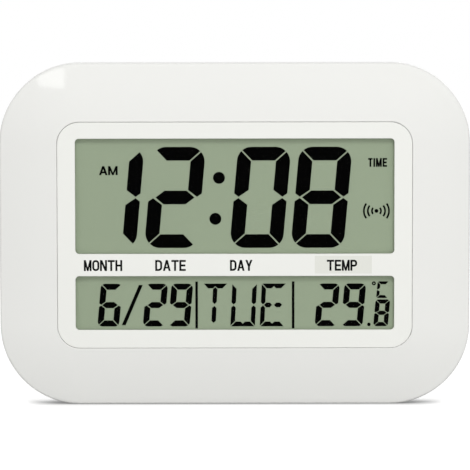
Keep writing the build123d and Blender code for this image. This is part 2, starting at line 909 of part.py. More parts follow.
with BuildPart() as rear_cover:
    with BuildSketch(wall_plane(0)):
        RectangleRounded(2 * (tray_half_width - tray_lean), 2 * (tray_half_height - tray_lean),
                         tray_corner_radius - tray_lean)
    extrude(amount=skirt_end, taper=-tray_draft)
    fillet(rear_cover.faces().sort_by(Axis.Y)[-1].edges(), tray_edge_radius)
    with BuildSketch(wall_plane(skirt_end)):
        RectangleRounded(case_width - 2 * flange_inset, case_height - 2 * flange_inset,
                         case_corner_radius - flange_inset)
    extrude(amount=flange_thickness)
    with BuildSketch(wall_plane(case_wall)):
        RectangleRounded(2 * (tray_half_width - tray_inner_lean), 2 * (tray_half_height - tray_inner_lean),
                         tray_corner_radius - tray_inner_lean)
    extrude(amount=boss_top + cut_overrun - case_wall, taper=-tray_draft, mode=Mode.SUBTRACT)

    # Screw wells
    with BuildSketch(wall_plane(case_wall)):
        with Locations(*case_screw_places):
            Circle(well_outer_radius)
    extrude(amount=boss_top - case_wall)
    # Keyhole pocket
    with BuildSketch(wall_plane(case_wall)):
        with Locations((0, (pocket_top + pocket_bottom) / 2)):
            Rectangle(pocket_width + 2 * box_wall, pocket_top - pocket_bottom + 2 * box_wall)
    extrude(amount=pocket_floor + box_wall - case_wall)
    # Battery box and the frame round its door
    with BuildSketch(wall_plane(case_wall)):
        with Locations((0, battery_height)):
            Rectangle(door_frame_width, door_height + 2 * door_frame_border)
    extrude(amount=door_frame_depth - case_wall)
    with BuildSketch(wall_plane(case_wall)):
        with Locations((0, battery_height)):
            Rectangle(cavity_length + 2 * box_wall, cavity_height + 2 * box_wall)
    extrude(amount=cavity_floor + box_wall - case_wall)
    # Stand recess, its heel pocket and its pin sockets
    with BuildSketch(wall_plane(case_wall)):
        with Locations((0, stand_box_z)):
            Rectangle(stand_recess_width + 2 * box_wall, stand_box_top - tray_back_bottom)
        with Locations((-socket_x, stand_hinge_z), (socket_x, stand_hinge_z)):
            Rectangle(stand_socket_width, stand_socket_height)
    extrude(amount=stand_floor + box_wall - case_wall)
    with BuildSketch(wall_plane(case_wall)):
        with Locations((0, (stand_box_top + stand_hinge_z - box_wall) / 2)):
            Rectangle(stand_recess_width + 2 * box_wall, stand_box_top - stand_hinge_z + box_wall)
    extrude(amount=heel_floor + box_wall - case_wall)
    # Button field and the posts of the button board
    with BuildSketch(wall_plane(case_wall)):
        with Locations((button_field_x, button_field_height)):
            RectangleRounded(button_field_width + 2 * box_wall, button_field_length + 2 * box_wall,
                             button_field_radius + box_wall)
    extrude(amount=field_inner - case_wall)
    with BuildSketch(wall_plane(field_inner)):
        with Locations(*button_screw_places):
            Circle(button_post_radius)
    extrude(amount=switch_front - field_inner)
    # Buzzer ring
    with BuildSketch(wall_plane(case_wall)):
        with Locations((buzzer_x, buzzer_height)):
            Circle(buzzer_radius + buzzer_clearance + buzzer_ring_wall)
            Circle(buzzer_radius + buzzer_clearance, mode=Mode.SUBTRACT)
    extrude(amount=buzzer_ring_height)
    # Saddles of the ferrite rod
    for place in saddle_places:
        with BuildSketch(side_plane(place)):
            with Locations((-(case_wall + rod_depth) / 2, rod_z)):
                Rectangle(rod_depth - case_wall, 2 * (rod_radius + saddle_wall))
            with Locations((-rod_depth, rod_z)):
                Circle(rod_radius + saddle_clearance, mode=Mode.SUBTRACT)
        extrude(amount=saddle_width)

    # Wells and screw holes
    with BuildSketch(wall_plane(0)):
        with Locations(*case_screw_places):
            Circle(well_radius)
    extrude(amount=boss_top - well_floor, mode=Mode.SUBTRACT)
    with BuildSketch(wall_plane(0)):
        with Locations(*case_screw_places):
            Circle(case_shank_radius + screw_clearance)
    extrude(amount=boss_top + cut_overrun, mode=Mode.SUBTRACT)
    # Keyhole
    with BuildSketch(wall_plane(-cut_overrun)):
        with Locations((0, keyhole_z)):
            Circle(keyhole_radius)
        with Locations((0, (keyhole_z + keyhole_slot_top) / 2)):
            Rectangle(keyhole_slot_width, keyhole_rise)
        with Locations((0, keyhole_slot_top)):
            Circle(keyhole_slot_width / 2)
    extrude(amount=case_wall + 2 * cut_overrun, mode=Mode.SUBTRACT)
    with BuildSketch(wall_plane(case_wall)):
        with Locations((0, (pocket_top + pocket_bottom) / 2)):
            Rectangle(pocket_width, pocket_top - pocket_bottom)
    extrude(amount=keyhole_pocket_depth, mode=Mode.SUBTRACT)
    # Battery cavity, door rebate, hinge bores and finger notch
    with BuildSketch(wall_plane(0)):
        with Locations((0, battery_height)):
            Rectangle(cavity_length, cavity_height)
    extrude(amount=cavity_floor, mode=Mode.SUBTRACT)
    with BuildSketch(wall_plane(0)):
        with Locations((0, battery_height)):
            Rectangle(door_width + 2 * door_gap, door_height + 2 * door_gap)
    extrude(amount=door_inner_depth + door_seat_clearance, mode=Mode.SUBTRACT)
    with BuildSketch(side_plane(-door_bore_length / 2)):
        with Locations((-door_hinge_depth, door_hinge_z)):
            Circle(door_pin_radius + pin_clearance)
    extrude(amount=door_bore_length, mode=Mode.SUBTRACT)
    with BuildSketch(wall_plane(0)):
        with Locations((0, door_bottom - finger_notch_height / 2)):
            Rectangle(finger_notch_width, finger_notch_height)
    extrude(amount=finger_notch_depth, mode=Mode.SUBTRACT)
    # Stand recess, open at the lower edge, heel pocket and hinge bores
    with BuildSketch(wall_plane(0)):
        with Locations((0, (stand_recess_top - case_height / 2) / 2)):
            Rectangle(stand_recess_width, stand_recess_top + case_height / 2)
    extrude(amount=stand_floor, mode=Mode.SUBTRACT)
    with BuildSketch(wall_plane(0)):
        with Locations((0, (stand_recess_top + stand_hinge_z) / 2)):
            Rectangle(stand_recess_width, stand_recess_top - stand_hinge_z)
    extrude(amount=heel_floor, mode=Mode.SUBTRACT)
    with BuildSketch(side_plane(-stand_bore_length / 2)):
        with Locations((-stand_hinge_depth, stand_hinge_z)):
            Circle(stand_pin_radius + pin_clearance)
    extrude(amount=stand_bore_length, mode=Mode.SUBTRACT)
    # Button field and its holes
    with BuildSketch(wall_plane(0)):
        with Locations((button_field_x, button_field_height)):
            RectangleRounded(button_field_width, button_field_length, button_field_radius)
    extrude(amount=button_field_recess, mode=Mode.SUBTRACT)
    with BuildSketch(wall_plane(0)):
        with Locations(*button_places):
            Circle(button_radius + button_clearance)
    extrude(amount=field_inner + cut_overrun, mode=Mode.SUBTRACT)
    with BuildSketch(wall_plane(switch_front)):
        with Locations(*button_screw_places):
            Circle(small_shank_radius + thread_clearance)
    extrude(amount=-board_pilot_depth, mode=Mode.SUBTRACT)
    # Sound holes and vents
    with BuildSketch(wall_plane(-cut_overrun)):
        with Locations(*sound_hole_places):
            Circle(sound_hole_radius)
        with Locations(*vent_places):
            SlotOverall(vent_length, vent_width, rotation=90)
    extrude(amount=case_wall + 2 * cut_overrun, mode=Mode.SUBTRACT)
keep(rear_cover, "rear_cover")
make_screws("case_screws", case_screw_places, boss_top - well_floor, 1,
            case_head_radius, case_head_height, case_shank_radius, case_shank_length)

# Battery door: a plate with a rounded hinge edge and two pins
with BuildPart() as battery_door:
    with BuildSketch(wall_plane(door_recess)):
        with Locations((0, (door_hinge_z + door_bottom) / 2)):
            Rectangle(door_width, door_hinge_z - door_bottom)
    extrude(amount=door_thickness)
    fillet(battery_door.edges().filter_by(Axis.Y).group_by(Axis.Z)[0], door_corner_radius)
    with BuildSketch(side_plane(-door_width / 2)):
        with Locations((-door_hinge_depth, door_hinge_z)):
            Circle(door_thickness / 2)
    extrude(amount=door_width)
    with BuildSketch(side_plane(-door_width / 2 - door_pin_length)):
        with Locations((-door_hinge_depth, door_hinge_z)):
            Circle(door_pin_radius)
    extrude(amount=door_width + 2 * door_pin_length)
    with BuildSketch(wall_plane(door_recess)):
        for step in range(1, door_grip_count + 1):
            with Locations((0, door_bottom + step * door_grip_pitch)):
                Rectangle(door_grip_width, door_grip_height)
    extrude(amount=door_grip_depth, mode=Mode.SUBTRACT)
keep(battery_door, "battery_door")

# Battery cells, contacts and springs
make_cell("upper_battery_cell", -1, upper_cell_z)
make_cell("lower_battery_cell", 1, lower_cell_z)
make_contact("bridge_contact", -1, battery_height, contact_width + 2 * cell_offset)
make_contact("negative_contact", 1, upper_cell_z, contact_width)
make_contact("positive_contact", 1, lower_cell_z, contact_width)

spring_start = cavity_length / 2 - contact_thickness
with BuildPart() as battery_springs:
    for side, z in ((1, upper_cell_z), (-1, lower_cell_z)):
        with BuildSketch(side_plane(side * spring_start)):
            with Locations((-cell_axis_depth, z)):
                Circle(spring_base_radius)
                Circle(spring_bore_radius, mode=Mode.SUBTRACT)
        with BuildSketch(side_plane(side * (spring_start - spring_length))):
            with Locations((-cell_axis_depth, z)):
                Circle(spring_tip_radius)
                Circle(spring_bore_radius, mode=Mode.SUBTRACT)
        loft()
keep(battery_springs, "battery_springs")

# Desk stand: a tapered leg with a heel above its pins and a sunk panel on its rear face
stand_shoulder_z = stand_hinge_z - stand_socket_height / 2
panel_top = stand_shoulder_z - stand_panel_margin
panel_bottom = stand_foot_z + stand_panel_margin
panel_half_width = stand_foot_width / 2 - stand_panel_margin
with BuildPart() as desk_stand:
    with BuildSketch(wall_plane(stand_recess)) as leg:
        Polygon(
            (-stand_width / 2, stand_hinge_z + stand_heel),
            (-stand_width / 2, stand_shoulder_z),
            (-stand_foot_width / 2, stand_foot_z),
            (stand_foot_width / 2, stand_foot_z),
            (stand_width / 2, stand_shoulder_z),
            (stand_width / 2, stand_hinge_z + stand_heel),
            align=None,
        )
        fillet(leg.vertices().group_by(Axis.Y)[0], stand_foot_radius)
    extrude(amount=stand_thickness)
    with BuildSketch(side_plane(-stand_width / 2 - stand_pin_length)):
        with Locations((-stand_hinge_depth, stand_hinge_z)):
            Circle(stand_pin_radius)
    extrude(amount=stand_width + 2 * stand_pin_length)
    with BuildSketch(wall_plane(stand_recess)):
        with Locations((0, (panel_top + panel_bottom) / 2)):
            RectangleRounded(2 * panel_half_width, panel_top - panel_bottom, stand_panel_radius)
    extrude(amount=stand_panel_depth, mode=Mode.SUBTRACT)
keep(desk_stand, "desk_stand")

# Buttons with their switch plungers
for name, place in zip(button_names, button_places):
    with BuildPart() as button:
        with BuildSketch(wall_plane(button_recess)):
            with Locations(place):
                Circle(button_radius)
        extrude(amount=flange_back - button_recess)
        fillet(button.faces().sort_by(Axis.Y)[-1].edges(), button_edge_radius)
        with BuildSketch(wall_plane(flange_back)):
            with Locations(place):
                Circle(button_radius + button_clearance + button_flange_width)
        extrude(amount=button_flange_thickness)
        with BuildSketch(wall_plane(flange_front)):
            with Locations(place):
                Circle(button_stem_radius)
        extrude(amount=button_stem_length)
    keep(button, f"{name}_button")

    with BuildPart() as plunger:
        with BuildSketch(wall_plane(stem_front)):
            with Locations(place):
                Circle(plunger_radius)
        extrude(amount=plunger_reach + plunger_depth)
    keep(plunger, f"{name}_switch_plunger")

# Switch housings and the button board
with BuildPart() as switch_housings:
    with BuildSketch(wall_plane(switch_back)):
        with Locations(*button_places):
            Rectangle(switch_width, switch_width)
    extrude(amount=switch_height)
    with BuildSketch(wall_plane(switch_back)):
        with Locations(*button_places):
            Circle(plunger_radius + plunger_clearance)
    extrude(amount=switch_bore_depth, mode=Mode.SUBTRACT)
keep(switch_housings, "switch_housings")

with BuildPart() as button_board:
    with BuildSketch(wall_plane(switch_front)):
        with Locations((button_field_x, button_field_height)):
            Rectangle(button_field_width, button_field_length)
        with Locations(*button_screw_places):
            Circle(small_shank_radius + screw_clearance, mode=Mode.SUBTRACT)
    extrude(amount=board_thickness)
keep(button_board, "button_board")
make_screws("button_board_screws", button_screw_places, switch_front + board_thickness, -1,
            small_head_radius, small_head_height, small_shank_radius, small_shank_length)

# Buzzer
with BuildPart() as alarm_buzzer:
    with BuildSketch(wall_plane(case_wall)):
        with Locations((buzzer_x, buzzer_height)):
            Circle(buzzer_radius)
    extrude(amount=buzzer_thickness)
keep(alarm_buzzer, "alarm_buzzer")

# Aerial: ferrite rod and its coil
with BuildPart() as ferrite_rod:
    with BuildSketch(side_plane(rod_start)):
        with Locations((-rod_depth, rod_z)):
            Circle(rod_radius)
    extrude(amount=rod_length)
keep(ferrite_rod, "ferrite_rod")

with BuildPart() as aerial_coil:
    with BuildSketch(side_plane(rod_start + (rod_length - coil_length) / 2)):
        with Locations((-rod_depth, rod_z)):
            Circle(coil_radius)
            Circle(rod_radius + coil_clearance, mode=Mode.SUBTRACT)
    extrude(amount=coil_length)
keep(aerial_coil, "aerial_coil")
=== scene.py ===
from math import atan2, cos, hypot, pi, radians, sin, tan

import bmesh
import bpy
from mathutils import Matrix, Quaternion, Vector
from mathutils.geometry import delaunay_2d_cdt


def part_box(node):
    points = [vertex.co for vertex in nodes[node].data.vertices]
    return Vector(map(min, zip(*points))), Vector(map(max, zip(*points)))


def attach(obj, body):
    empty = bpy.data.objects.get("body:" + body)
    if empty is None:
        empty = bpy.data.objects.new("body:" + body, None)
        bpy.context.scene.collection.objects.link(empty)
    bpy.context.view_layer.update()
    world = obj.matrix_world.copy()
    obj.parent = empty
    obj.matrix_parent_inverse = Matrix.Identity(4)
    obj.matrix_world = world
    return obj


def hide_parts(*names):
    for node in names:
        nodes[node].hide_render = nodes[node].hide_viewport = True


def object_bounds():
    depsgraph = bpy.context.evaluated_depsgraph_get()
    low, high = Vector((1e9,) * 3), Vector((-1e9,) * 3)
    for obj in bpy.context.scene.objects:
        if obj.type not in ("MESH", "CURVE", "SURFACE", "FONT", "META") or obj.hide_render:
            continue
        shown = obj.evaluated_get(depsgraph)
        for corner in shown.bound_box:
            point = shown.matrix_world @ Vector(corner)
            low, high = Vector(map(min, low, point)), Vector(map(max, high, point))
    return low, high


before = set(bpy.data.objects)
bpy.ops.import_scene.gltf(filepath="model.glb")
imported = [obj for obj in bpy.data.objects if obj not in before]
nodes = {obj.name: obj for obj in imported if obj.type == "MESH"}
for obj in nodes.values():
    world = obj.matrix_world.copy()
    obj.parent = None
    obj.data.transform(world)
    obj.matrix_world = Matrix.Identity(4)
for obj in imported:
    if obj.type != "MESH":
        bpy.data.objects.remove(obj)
cad_low, cad_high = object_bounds()

# Lengths of the clock are given in millimetres, as in its drawing; X is to the right, Z is up
# and a depth is a distance from the wall towards the front, along -Y.
MM = 0.001
BUTTONS = ("set", "up", "mode", "down", "alarm", "wave")


def millimetres(vector):
    return [value / MM for value in vector]


# Node groups: effects that several finishes share

def new_group(name, inputs, outputs):
    """An empty shader group with its sockets, its input node and its output node."""
    group = bpy.data.node_groups.new(name, "ShaderNodeTree")
    for label, kind, value in inputs:
        socket = group.interface.new_socket(label, in_out="INPUT", socket_type=kind)
        socket.default_value = value
    for label, kind in outputs:
        group.interface.new_socket(label, in_out="OUTPUT", socket_type=kind)
    return group, group.nodes.new("NodeGroupInput"), group.nodes.new("NodeGroupOutput")


COLOUR, NUMBER = "NodeSocketColor", "NodeSocketFloat"
GREY = (0.5, 0.5, 0.5, 1.0)
NOISE_MIDDLE = 0.5


def add_node(tree, kind, **settings):
    node = tree.nodes.new(kind)
    for name, value in settings.items():
        setattr(node, name, value)
    return node


def math(tree, operation, first, second, third=None):
    """A Math node on sockets or plain numbers; gives its output socket."""
    node = add_node(tree, "ShaderNodeMath", operation=operation)
    for socket, value in zip(node.inputs, (first, second, third)):
        if value is None:
            continue
        if isinstance(value, (int, float)):
            socket.default_value = value
        else:
            tree.links.new(value, socket)
    return node.outputs[0]


def blend_colours(tree, factor, first, second):
    """A colour Mix node on sockets or plain colours; gives its output socket."""
    node = add_node(tree, "ShaderNodeMix", data_type="RGBA")
    for socket, value in ((node.inputs[0], factor), (node.inputs[6], first), (node.inputs[7], second)):
        if isinstance(value, (int, float, tuple)):
            socket.default_value = value
        else:
            tree.links.new(value, socket)
    return node.outputs[2]


def part_space(tree):
    """The point on the part, in metres, as a vector socket."""
    return add_node(tree, "ShaderNodeTexCoord").outputs["Object"]


def noise(tree, vector, scale, detail=2.0):
    node = add_node(tree, "ShaderNodeTexNoise")
    node.inputs["Detail"].default_value = detail
    tree.links.new(vector, node.inputs["Vector"])
    if isinstance(scale, (int, float)):
        node.inputs["Scale"].default_value = scale
    else:
        tree.links.new(scale, node.inputs["Scale"])
    return node.outputs["Fac"]


def make_moulded_skin():
    """Moulded plastic: slow changes of tone, a fine grain and a roughness that follows the tone."""
    group, given, result = new_group(
        "moulded_skin",
        [("Colour", COLOUR, GREY), ("Tone Spread", NUMBER, 0.02), ("Tone Scale", NUMBER, 12.0),
         ("Grain Scale", NUMBER, 1500.0), ("Roughness", NUMBER, 0.4), ("Roughness Spread", NUMBER, 0.05)],
        [("Colour", COLOUR), ("Roughness", NUMBER), ("Height", NUMBER)],
    )
    place = part_space(group)
    tone_detail, grain_share = 3.0, 0.5
    clouds = noise(group, place, given.outputs["Tone Scale"], tone_detail)
    slow = math(group, "SUBTRACT", clouds, NOISE_MIDDLE)
    fine = noise(group, place, given.outputs["Grain Scale"])
    tone = math(group, "MULTIPLY_ADD", slow, given.outputs["Tone Spread"], 1.0)
    grain = math(group, "SUBTRACT", fine, NOISE_MIDDLE)
    grain_spread = math(group, "MULTIPLY", given.outputs["Tone Spread"], grain_share)
    tone = math(group, "MULTIPLY_ADD", grain, grain_spread, tone)
    shade = add_node(group, "ShaderNodeVectorMath", operation="SCALE")
    group.links.new(given.outputs["Colour"], shade.inputs[0])
    group.links.new(tone, shade.inputs["Scale"])
    rough = math(group, "MULTIPLY_ADD", slow, given.outputs["Roughness Spread"], given.outputs["Roughness"])
    group.links.new(shade.outputs[0], result.inputs["Colour"])
    group.links.new(rough, result.inputs["Roughness"])
    group.links.new(fine, result.inputs["Height"])
    return group


def make_crevice_dust_and_shade():
    """A little dust, and painted shade, darkening the colour where walls stand close together."""
    group, given, result = new_group(
        "crevice_dust_and_shade",
        [("Colour", COLOUR, GREY), ("Dust", COLOUR, (0.35, 0.33, 0.3, 1.0)), ("Amount", NUMBER, 0.3),
         ("Reach", NUMBER, 0.003)],
        [("Colour", COLOUR)],
    )
    speckle_scale, speckle_detail, speckle_base = 420.0, 4.0, 0.5
    # Painted shade: the occlusion darkens the colour in recesses, broken up by a dust speckle
    closeness = add_node(group, "ShaderNodeAmbientOcclusion", samples=8)
    group.links.new(given.outputs["Reach"], closeness.inputs["Distance"])
    hidden = math(group, "SUBTRACT", 1.0, closeness.outputs["AO"])
    spots = noise(group, part_space(group), speckle_scale, speckle_detail)
    speckle = math(group, "ADD", spots, speckle_base)
    amount = math(group, "MULTIPLY", math(group, "MULTIPLY", hidden, speckle), given.outputs["Amount"])
    mixed = blend_colours(group, amount, given.outputs["Colour"], given.outputs["Dust"])
    group.links.new(mixed, result.inputs["Colour"])
    return group


def make_edge_rub():
    """A mask of the edges that hands and tools rub, broken up by noise."""
    group, given, result = new_group(
        "edge_rub", [("Radius", NUMBER, 0.0004), ("Amount", NUMBER, 0.5)], [("Mask", NUMBER)]
    )
    sharpness = 6.0
    break_scale, break_detail, break_base = 600.0, 3.0, 0.3
    rounded = add_node(group, "ShaderNodeBevel", samples=6)
    group.links.new(given.outputs["Radius"], rounded.inputs["Radius"])
    surface = add_node(group, "ShaderNodeNewGeometry")
    match = add_node(group, "ShaderNodeVectorMath", operation="DOT_PRODUCT")
    group.links.new(rounded.outputs["Normal"], match.inputs[0])
    group.links.new(surface.outputs["Normal"], match.inputs[1])
    edge = math(group, "MULTIPLY", math(group, "SUBTRACT", 1.0, match.outputs["Value"]), sharpness)
    broken = math(group, "ADD", noise(group, part_space(group), break_scale, break_detail), break_base)
    mask = math(group, "MULTIPLY", math(group, "MULTIPLY", edge, broken), given.outputs["Amount"])
    node = add_node(group, "ShaderNodeClamp")
    group.links.new(mask, node.inputs["Value"])
    group.links.new(node.outputs[0], result.inputs["Mask"])
    return group


def make_drawn_metal():
    """Plated or drawn metal: fine lines along one direction and small tarnish spots."""
    group, given, result = new_group(
        "drawn_metal",
        [("Colour", COLOUR, GREY), ("Line Scale", NUMBER, 2500.0), ("Roughness", NUMBER, 0.3)],
        [("Colour", COLOUR), ("Roughness", NUMBER), ("Height", NUMBER)],
    )
    place = part_space(group)
    line_stretch = (0.04, 1.0, 1.0)
    spot_scale, spot_detail, spot_roughness = 260.0, 4.0, 0.25
    line_share, spot_share, base_tone = 0.16, 0.22, 0.81
    stretch = add_node(group, "ShaderNodeMapping")
    stretch.inputs["Scale"].default_value = line_stretch
    group.links.new(place, stretch.inputs["Vector"])
    lines = noise(group, stretch.outputs["Vector"], given.outputs["Line Scale"])
    spots = noise(group, place, spot_scale, spot_detail)
    spot_tone = math(group, "MULTIPLY_ADD", spots, spot_share, base_tone)
    tone = math(group, "MULTIPLY_ADD", lines, line_share, spot_tone)
    shade = add_node(group, "ShaderNodeVectorMath", operation="SCALE")
    group.links.new(given.outputs["Colour"], shade.inputs[0])
    group.links.new(tone, shade.inputs["Scale"])
    spot_change = math(group, "SUBTRACT", spots, NOISE_MIDDLE)
    rough = math(group, "MULTIPLY_ADD", spot_change, spot_roughness, given.outputs["Roughness"])
    group.links.new(shade.outputs[0], result.inputs["Colour"])
    group.links.new(rough, result.inputs["Roughness"])
    group.links.new(lines, result.inputs["Height"])
    return group


moulded_skin = make_moulded_skin()
crevice_dust_and_shade = make_crevice_dust_and_shade()
edge_rub = make_edge_rub()
drawn_metal = make_drawn_metal()


# Finishes

def new_finish(name, **shader_values):
    """A material with one Principled shader; constant values go on the shader's own sockets."""
    material = bpy.data.materials.new(name)
    material.use_nodes = True
    tree = material.node_tree
    tree.nodes.clear()
    output = add_node(tree, "ShaderNodeOutputMaterial")
    shader = add_node(tree, "ShaderNodeBsdfPrincipled")
    tree.links.new(shader.outputs["BSDF"], output.inputs["Surface"])
    for label, value in shader_values.items():
        shader.inputs[label.replace("_", " ")].default_value = value
    return material, tree, shader


def place_group(tree, group, **values):
    node = add_node(tree, "ShaderNodeGroup", node_tree=group)
    for label, value in values.items():
        socket = node.inputs[label.replace("_", " ")]
        if hasattr(value, "is_output"):
            tree.links.new(value, socket)
        else:
            socket.default_value = value
    return node


def add_bump(tree, shader, height, distance):
    """Surface relief of a given height in metres."""
    bump = add_node(tree, "ShaderNodeBump")
    bump.inputs["Strength"].default_value = 1.0
    bump.inputs["Distance"].default_value = distance
    tree.links.new(height, bump.inputs["Height"])
    tree.links.new(bump.outputs["Normal"], shader.inputs["Normal"])


def moulded_finish(name, colour, roughness, tone_spread=0.02, grain_scale=1500.0, grain_height=0.00001,
                   dust=0.0, dust_and_shade_reach=0.003, rub=0.0, rub_colour=None, **shader_values):
    """Moulded plastic with its grain, dust and painted shade in its recesses, and rubbed edges."""
    roughness_spread = 0.08
    material, tree, shader = new_finish(name, **shader_values)
    skin = place_group(tree, moulded_skin, Colour=(*colour, 1.0), Tone_Spread=tone_spread,
                       Grain_Scale=grain_scale, Roughness=roughness, Roughness_Spread=roughness_spread)
    shown = skin.outputs["Colour"]
    # Dust and painted shade: recesses get a darker colour from the occlusion group
    if dust:
        dusty_and_shaded = place_group(tree, crevice_dust_and_shade, Colour=shown, Amount=dust, Reach=dust_and_shade_reach)
        shown = dusty_and_shaded.outputs["Colour"]
    if rub:
        mask = place_group(tree, edge_rub, Amount=rub).outputs["Mask"]
        shown = blend_colours(tree, mask, shown, (*rub_colour, 1.0))
    tree.links.new(shown, shader.inputs["Base Color"])
    tree.links.new(skin.outputs["Roughness"], shader.inputs["Roughness"])
    add_bump(tree, shader, skin.outputs["Height"], grain_height)
    return material


def metal_finish(name, colour, roughness, line_scale=2500.0):
    """Plated metal with drawn lines and brighter edges."""
    rub = 0.4
    rub_radius, rub_gain, line_height = 0.0002, 1.25, 0.000004
    material, tree, shader = new_finish(name, Metallic=1.0)
    drawn = place_group(tree, drawn_metal, Colour=(*colour, 1.0), Line_Scale=line_scale, Roughness=roughness)
    mask = place_group(tree, edge_rub, Amount=rub, Radius=rub_radius).outputs["Mask"]
    bright = tuple(min(1.0, value * rub_gain) for value in colour)
    shown = blend_colours(tree, mask, drawn.outputs["Colour"], (*bright, 1.0))
    tree.links.new(shown, shader.inputs["Base Color"])
    tree.links.new(drawn.outputs["Roughness"], shader.inputs["Roughness"])
    add_bump(tree, shader, drawn.outputs["Height"], line_height)
    return material


def glass_finish():
    """Clear display glass with a low-glare face: see-through, with a Fresnel reflection."""
    low_glare_ior = 1.05
    material = bpy.data.materials.new("display_glass")
    material.use_nodes = True
    tree = material.node_tree
    tree.nodes.clear()
    output = add_node(tree, "ShaderNodeOutputMaterial")
    facing = add_node(tree, "ShaderNodeFresnel")
    facing.inputs["IOR"].default_value = low_glare_ior
    clear = add_node(tree, "ShaderNodeBsdfTransparent")
    tint = place_group(tree, moulded_skin, Colour=(0.985, 0.995, 0.985, 1.0), Tone_Spread=0.006,
                       Roughness=0.06, Roughness_Spread=0.03)
    tree.links.new(tint.outputs["Colour"], clear.inputs["Color"])
    mirror = add_node(tree, "ShaderNodeBsdfGlossy")
    tree.links.new(tint.outputs["Roughness"], mirror.inputs["Roughness"])
    both = add_node(tree, "ShaderNodeMixShader")
    tree.links.new(facing.outputs["Fac"], both.inputs["Fac"])
    tree.links.new(clear.outputs[0], both.inputs[1])
    tree.links.new(mirror.outputs[0], both.inputs[2])
    tree.links.new(both.outputs[0], output.inputs["Surface"])
    return material


def axis_share(tree, axis):
    """One coordinate of the part, in metres."""
    split = add_node(tree, "ShaderNodeSeparateXYZ")
    tree.links.new(part_space(tree), split.inputs[0])
    return split.outputs[axis]


def bands(tree, along, pitch):
    """A soft wave from 0 to 1 that repeats at a pitch given in metres."""
    turn = math(tree, "SINE", math(tree, "MULTIPLY", along, 2 * pi / pitch), 0.0)
    return math(tree, "MULTIPLY_ADD", turn, 0.5, 0.5)


def winding_finish():
    """Enamelled copper wire wound side by side."""
    turn_pitch, turn_height, gap_softness = 0.0004, 0.00012, 0.4
    gap_colour = (0.12, 0.04, 0.015, 1.0)
    material, tree, shader = new_finish("wound_copper", Metallic=1.0)
    turns = bands(tree, axis_share(tree, "X"), turn_pitch)
    drawn = place_group(tree, drawn_metal, Colour=(0.72, 0.31, 0.13, 1.0), Roughness=0.3)
    gap = math(tree, "POWER", turns, gap_softness)
    shown = blend_colours(tree, gap, gap_colour, drawn.outputs["Colour"])
    tree.links.new(shown, shader.inputs["Base Color"])
    tree.links.new(drawn.outputs["Roughness"], shader.inputs["Roughness"])
    add_bump(tree, shader, turns, turn_height)
    return material


def layered_strip_finish():
    """Rubber strip of conducting and insulating layers."""
    layer_pitch, layer_height, layer_share = 0.0005, 0.00001, 0.5
    conducting = (0.025, 0.025, 0.025, 1.0)
    material, tree, shader = new_finish("layered_rubber")
    skin = place_group(tree, moulded_skin, Colour=(0.42, 0.38, 0.36, 1.0), Roughness=0.7, Tone_Spread=0.1)
    layers = bands(tree, axis_share(tree, "X"), layer_pitch)
    sharp = math(tree, "GREATER_THAN", layers, layer_share)
    shown = blend_colours(tree, sharp, skin.outputs["Colour"], conducting)
    tree.links.new(shown, shader.inputs["Base Color"])
    tree.links.new(skin.outputs["Roughness"], shader.inputs["Roughness"])
    add_bump(tree, shader, layers, layer_height)
    return material


def board_finish():
    """Circuit board: solder mask over copper runs, with a bare laminate edge."""
    field_scale, run_pitch, run_level, run_height = 170.0, 0.0018, 0.62, 0.00003
    mask_over_copper, laminate = (0.035, 0.22, 0.08, 1.0), (0.42, 0.36, 0.2, 1.0)
    edge_level = 0.5
    material, tree, shader = new_finish("circuit_board", IOR=1.5)
    place = part_space(tree)
    cells = add_node(tree, "ShaderNodeTexVoronoi", feature="F1", distance="MANHATTAN")
    cells.inputs["Scale"].default_value = field_scale
    tree.links.new(place, cells.inputs["Vector"])
    rings = bands(tree, cells.outputs["Distance"], run_pitch * field_scale)
    runs = math(tree, "GREATER_THAN", rings, run_level)
    skin = place_group(tree, moulded_skin, Colour=(0.015, 0.13, 0.05, 1.0), Tone_Spread=0.25, Roughness=0.3)
    over_copper = blend_colours(tree, runs, skin.outputs["Colour"], mask_over_copper)
    surface = add_node(tree, "ShaderNodeNewGeometry")
    split = add_node(tree, "ShaderNodeSeparateXYZ")
    tree.links.new(surface.outputs["Normal"], split.inputs[0])
    facing = math(tree, "ABSOLUTE", split.outputs["Y"], 0.0)
    edge = math(tree, "LESS_THAN", facing, edge_level)
    shown = blend_colours(tree, edge, over_copper, laminate)
    tree.links.new(shown, shader.inputs["Base Color"])
    tree.links.new(skin.outputs["Roughness"], shader.inputs["Roughness"])
    add_bump(tree, shader, runs, run_height)
    return material


def cell_finish(name, nub_side):
    """Battery cell: a printed sleeve with a pale band near its nub, and bare metal ends."""
    band_start, band_end = 0.0105, 0.0245
    nub_end, flat_end = 0.02575, -0.02265
    band_colour, line_height = (0.58, 0.6, 0.6, 1.0), 0.000003
    material, tree, shader = new_finish(name)
    along = math(tree, "MULTIPLY", axis_share(tree, "X"), nub_side)
    sleeve = place_group(tree, moulded_skin, Colour=(0.075, 0.09, 0.1, 1.0), Tone_Spread=0.12, Roughness=0.28)
    metal = place_group(tree, drawn_metal, Colour=(0.72, 0.71, 0.68, 1.0), Roughness=0.25)
    past_start = math(tree, "GREATER_THAN", along, band_start)
    band = math(tree, "MULTIPLY", past_start, math(tree, "LESS_THAN", along, band_end))
    printed = blend_colours(tree, band, sleeve.outputs["Colour"], band_colour)
    past_nub = math(tree, "GREATER_THAN", along, nub_end)
    bare = math(tree, "MAXIMUM", past_nub, math(tree, "LESS_THAN", along, flat_end))
    shown = blend_colours(tree, bare, printed, metal.outputs["Colour"])
    tree.links.new(shown, shader.inputs["Base Color"])
    tree.links.new(bare, shader.inputs["Metallic"])
    tree.links.new(sleeve.outputs["Roughness"], shader.inputs["Roughness"])
    add_bump(tree, shader, metal.outputs["Height"], line_height)
    return material


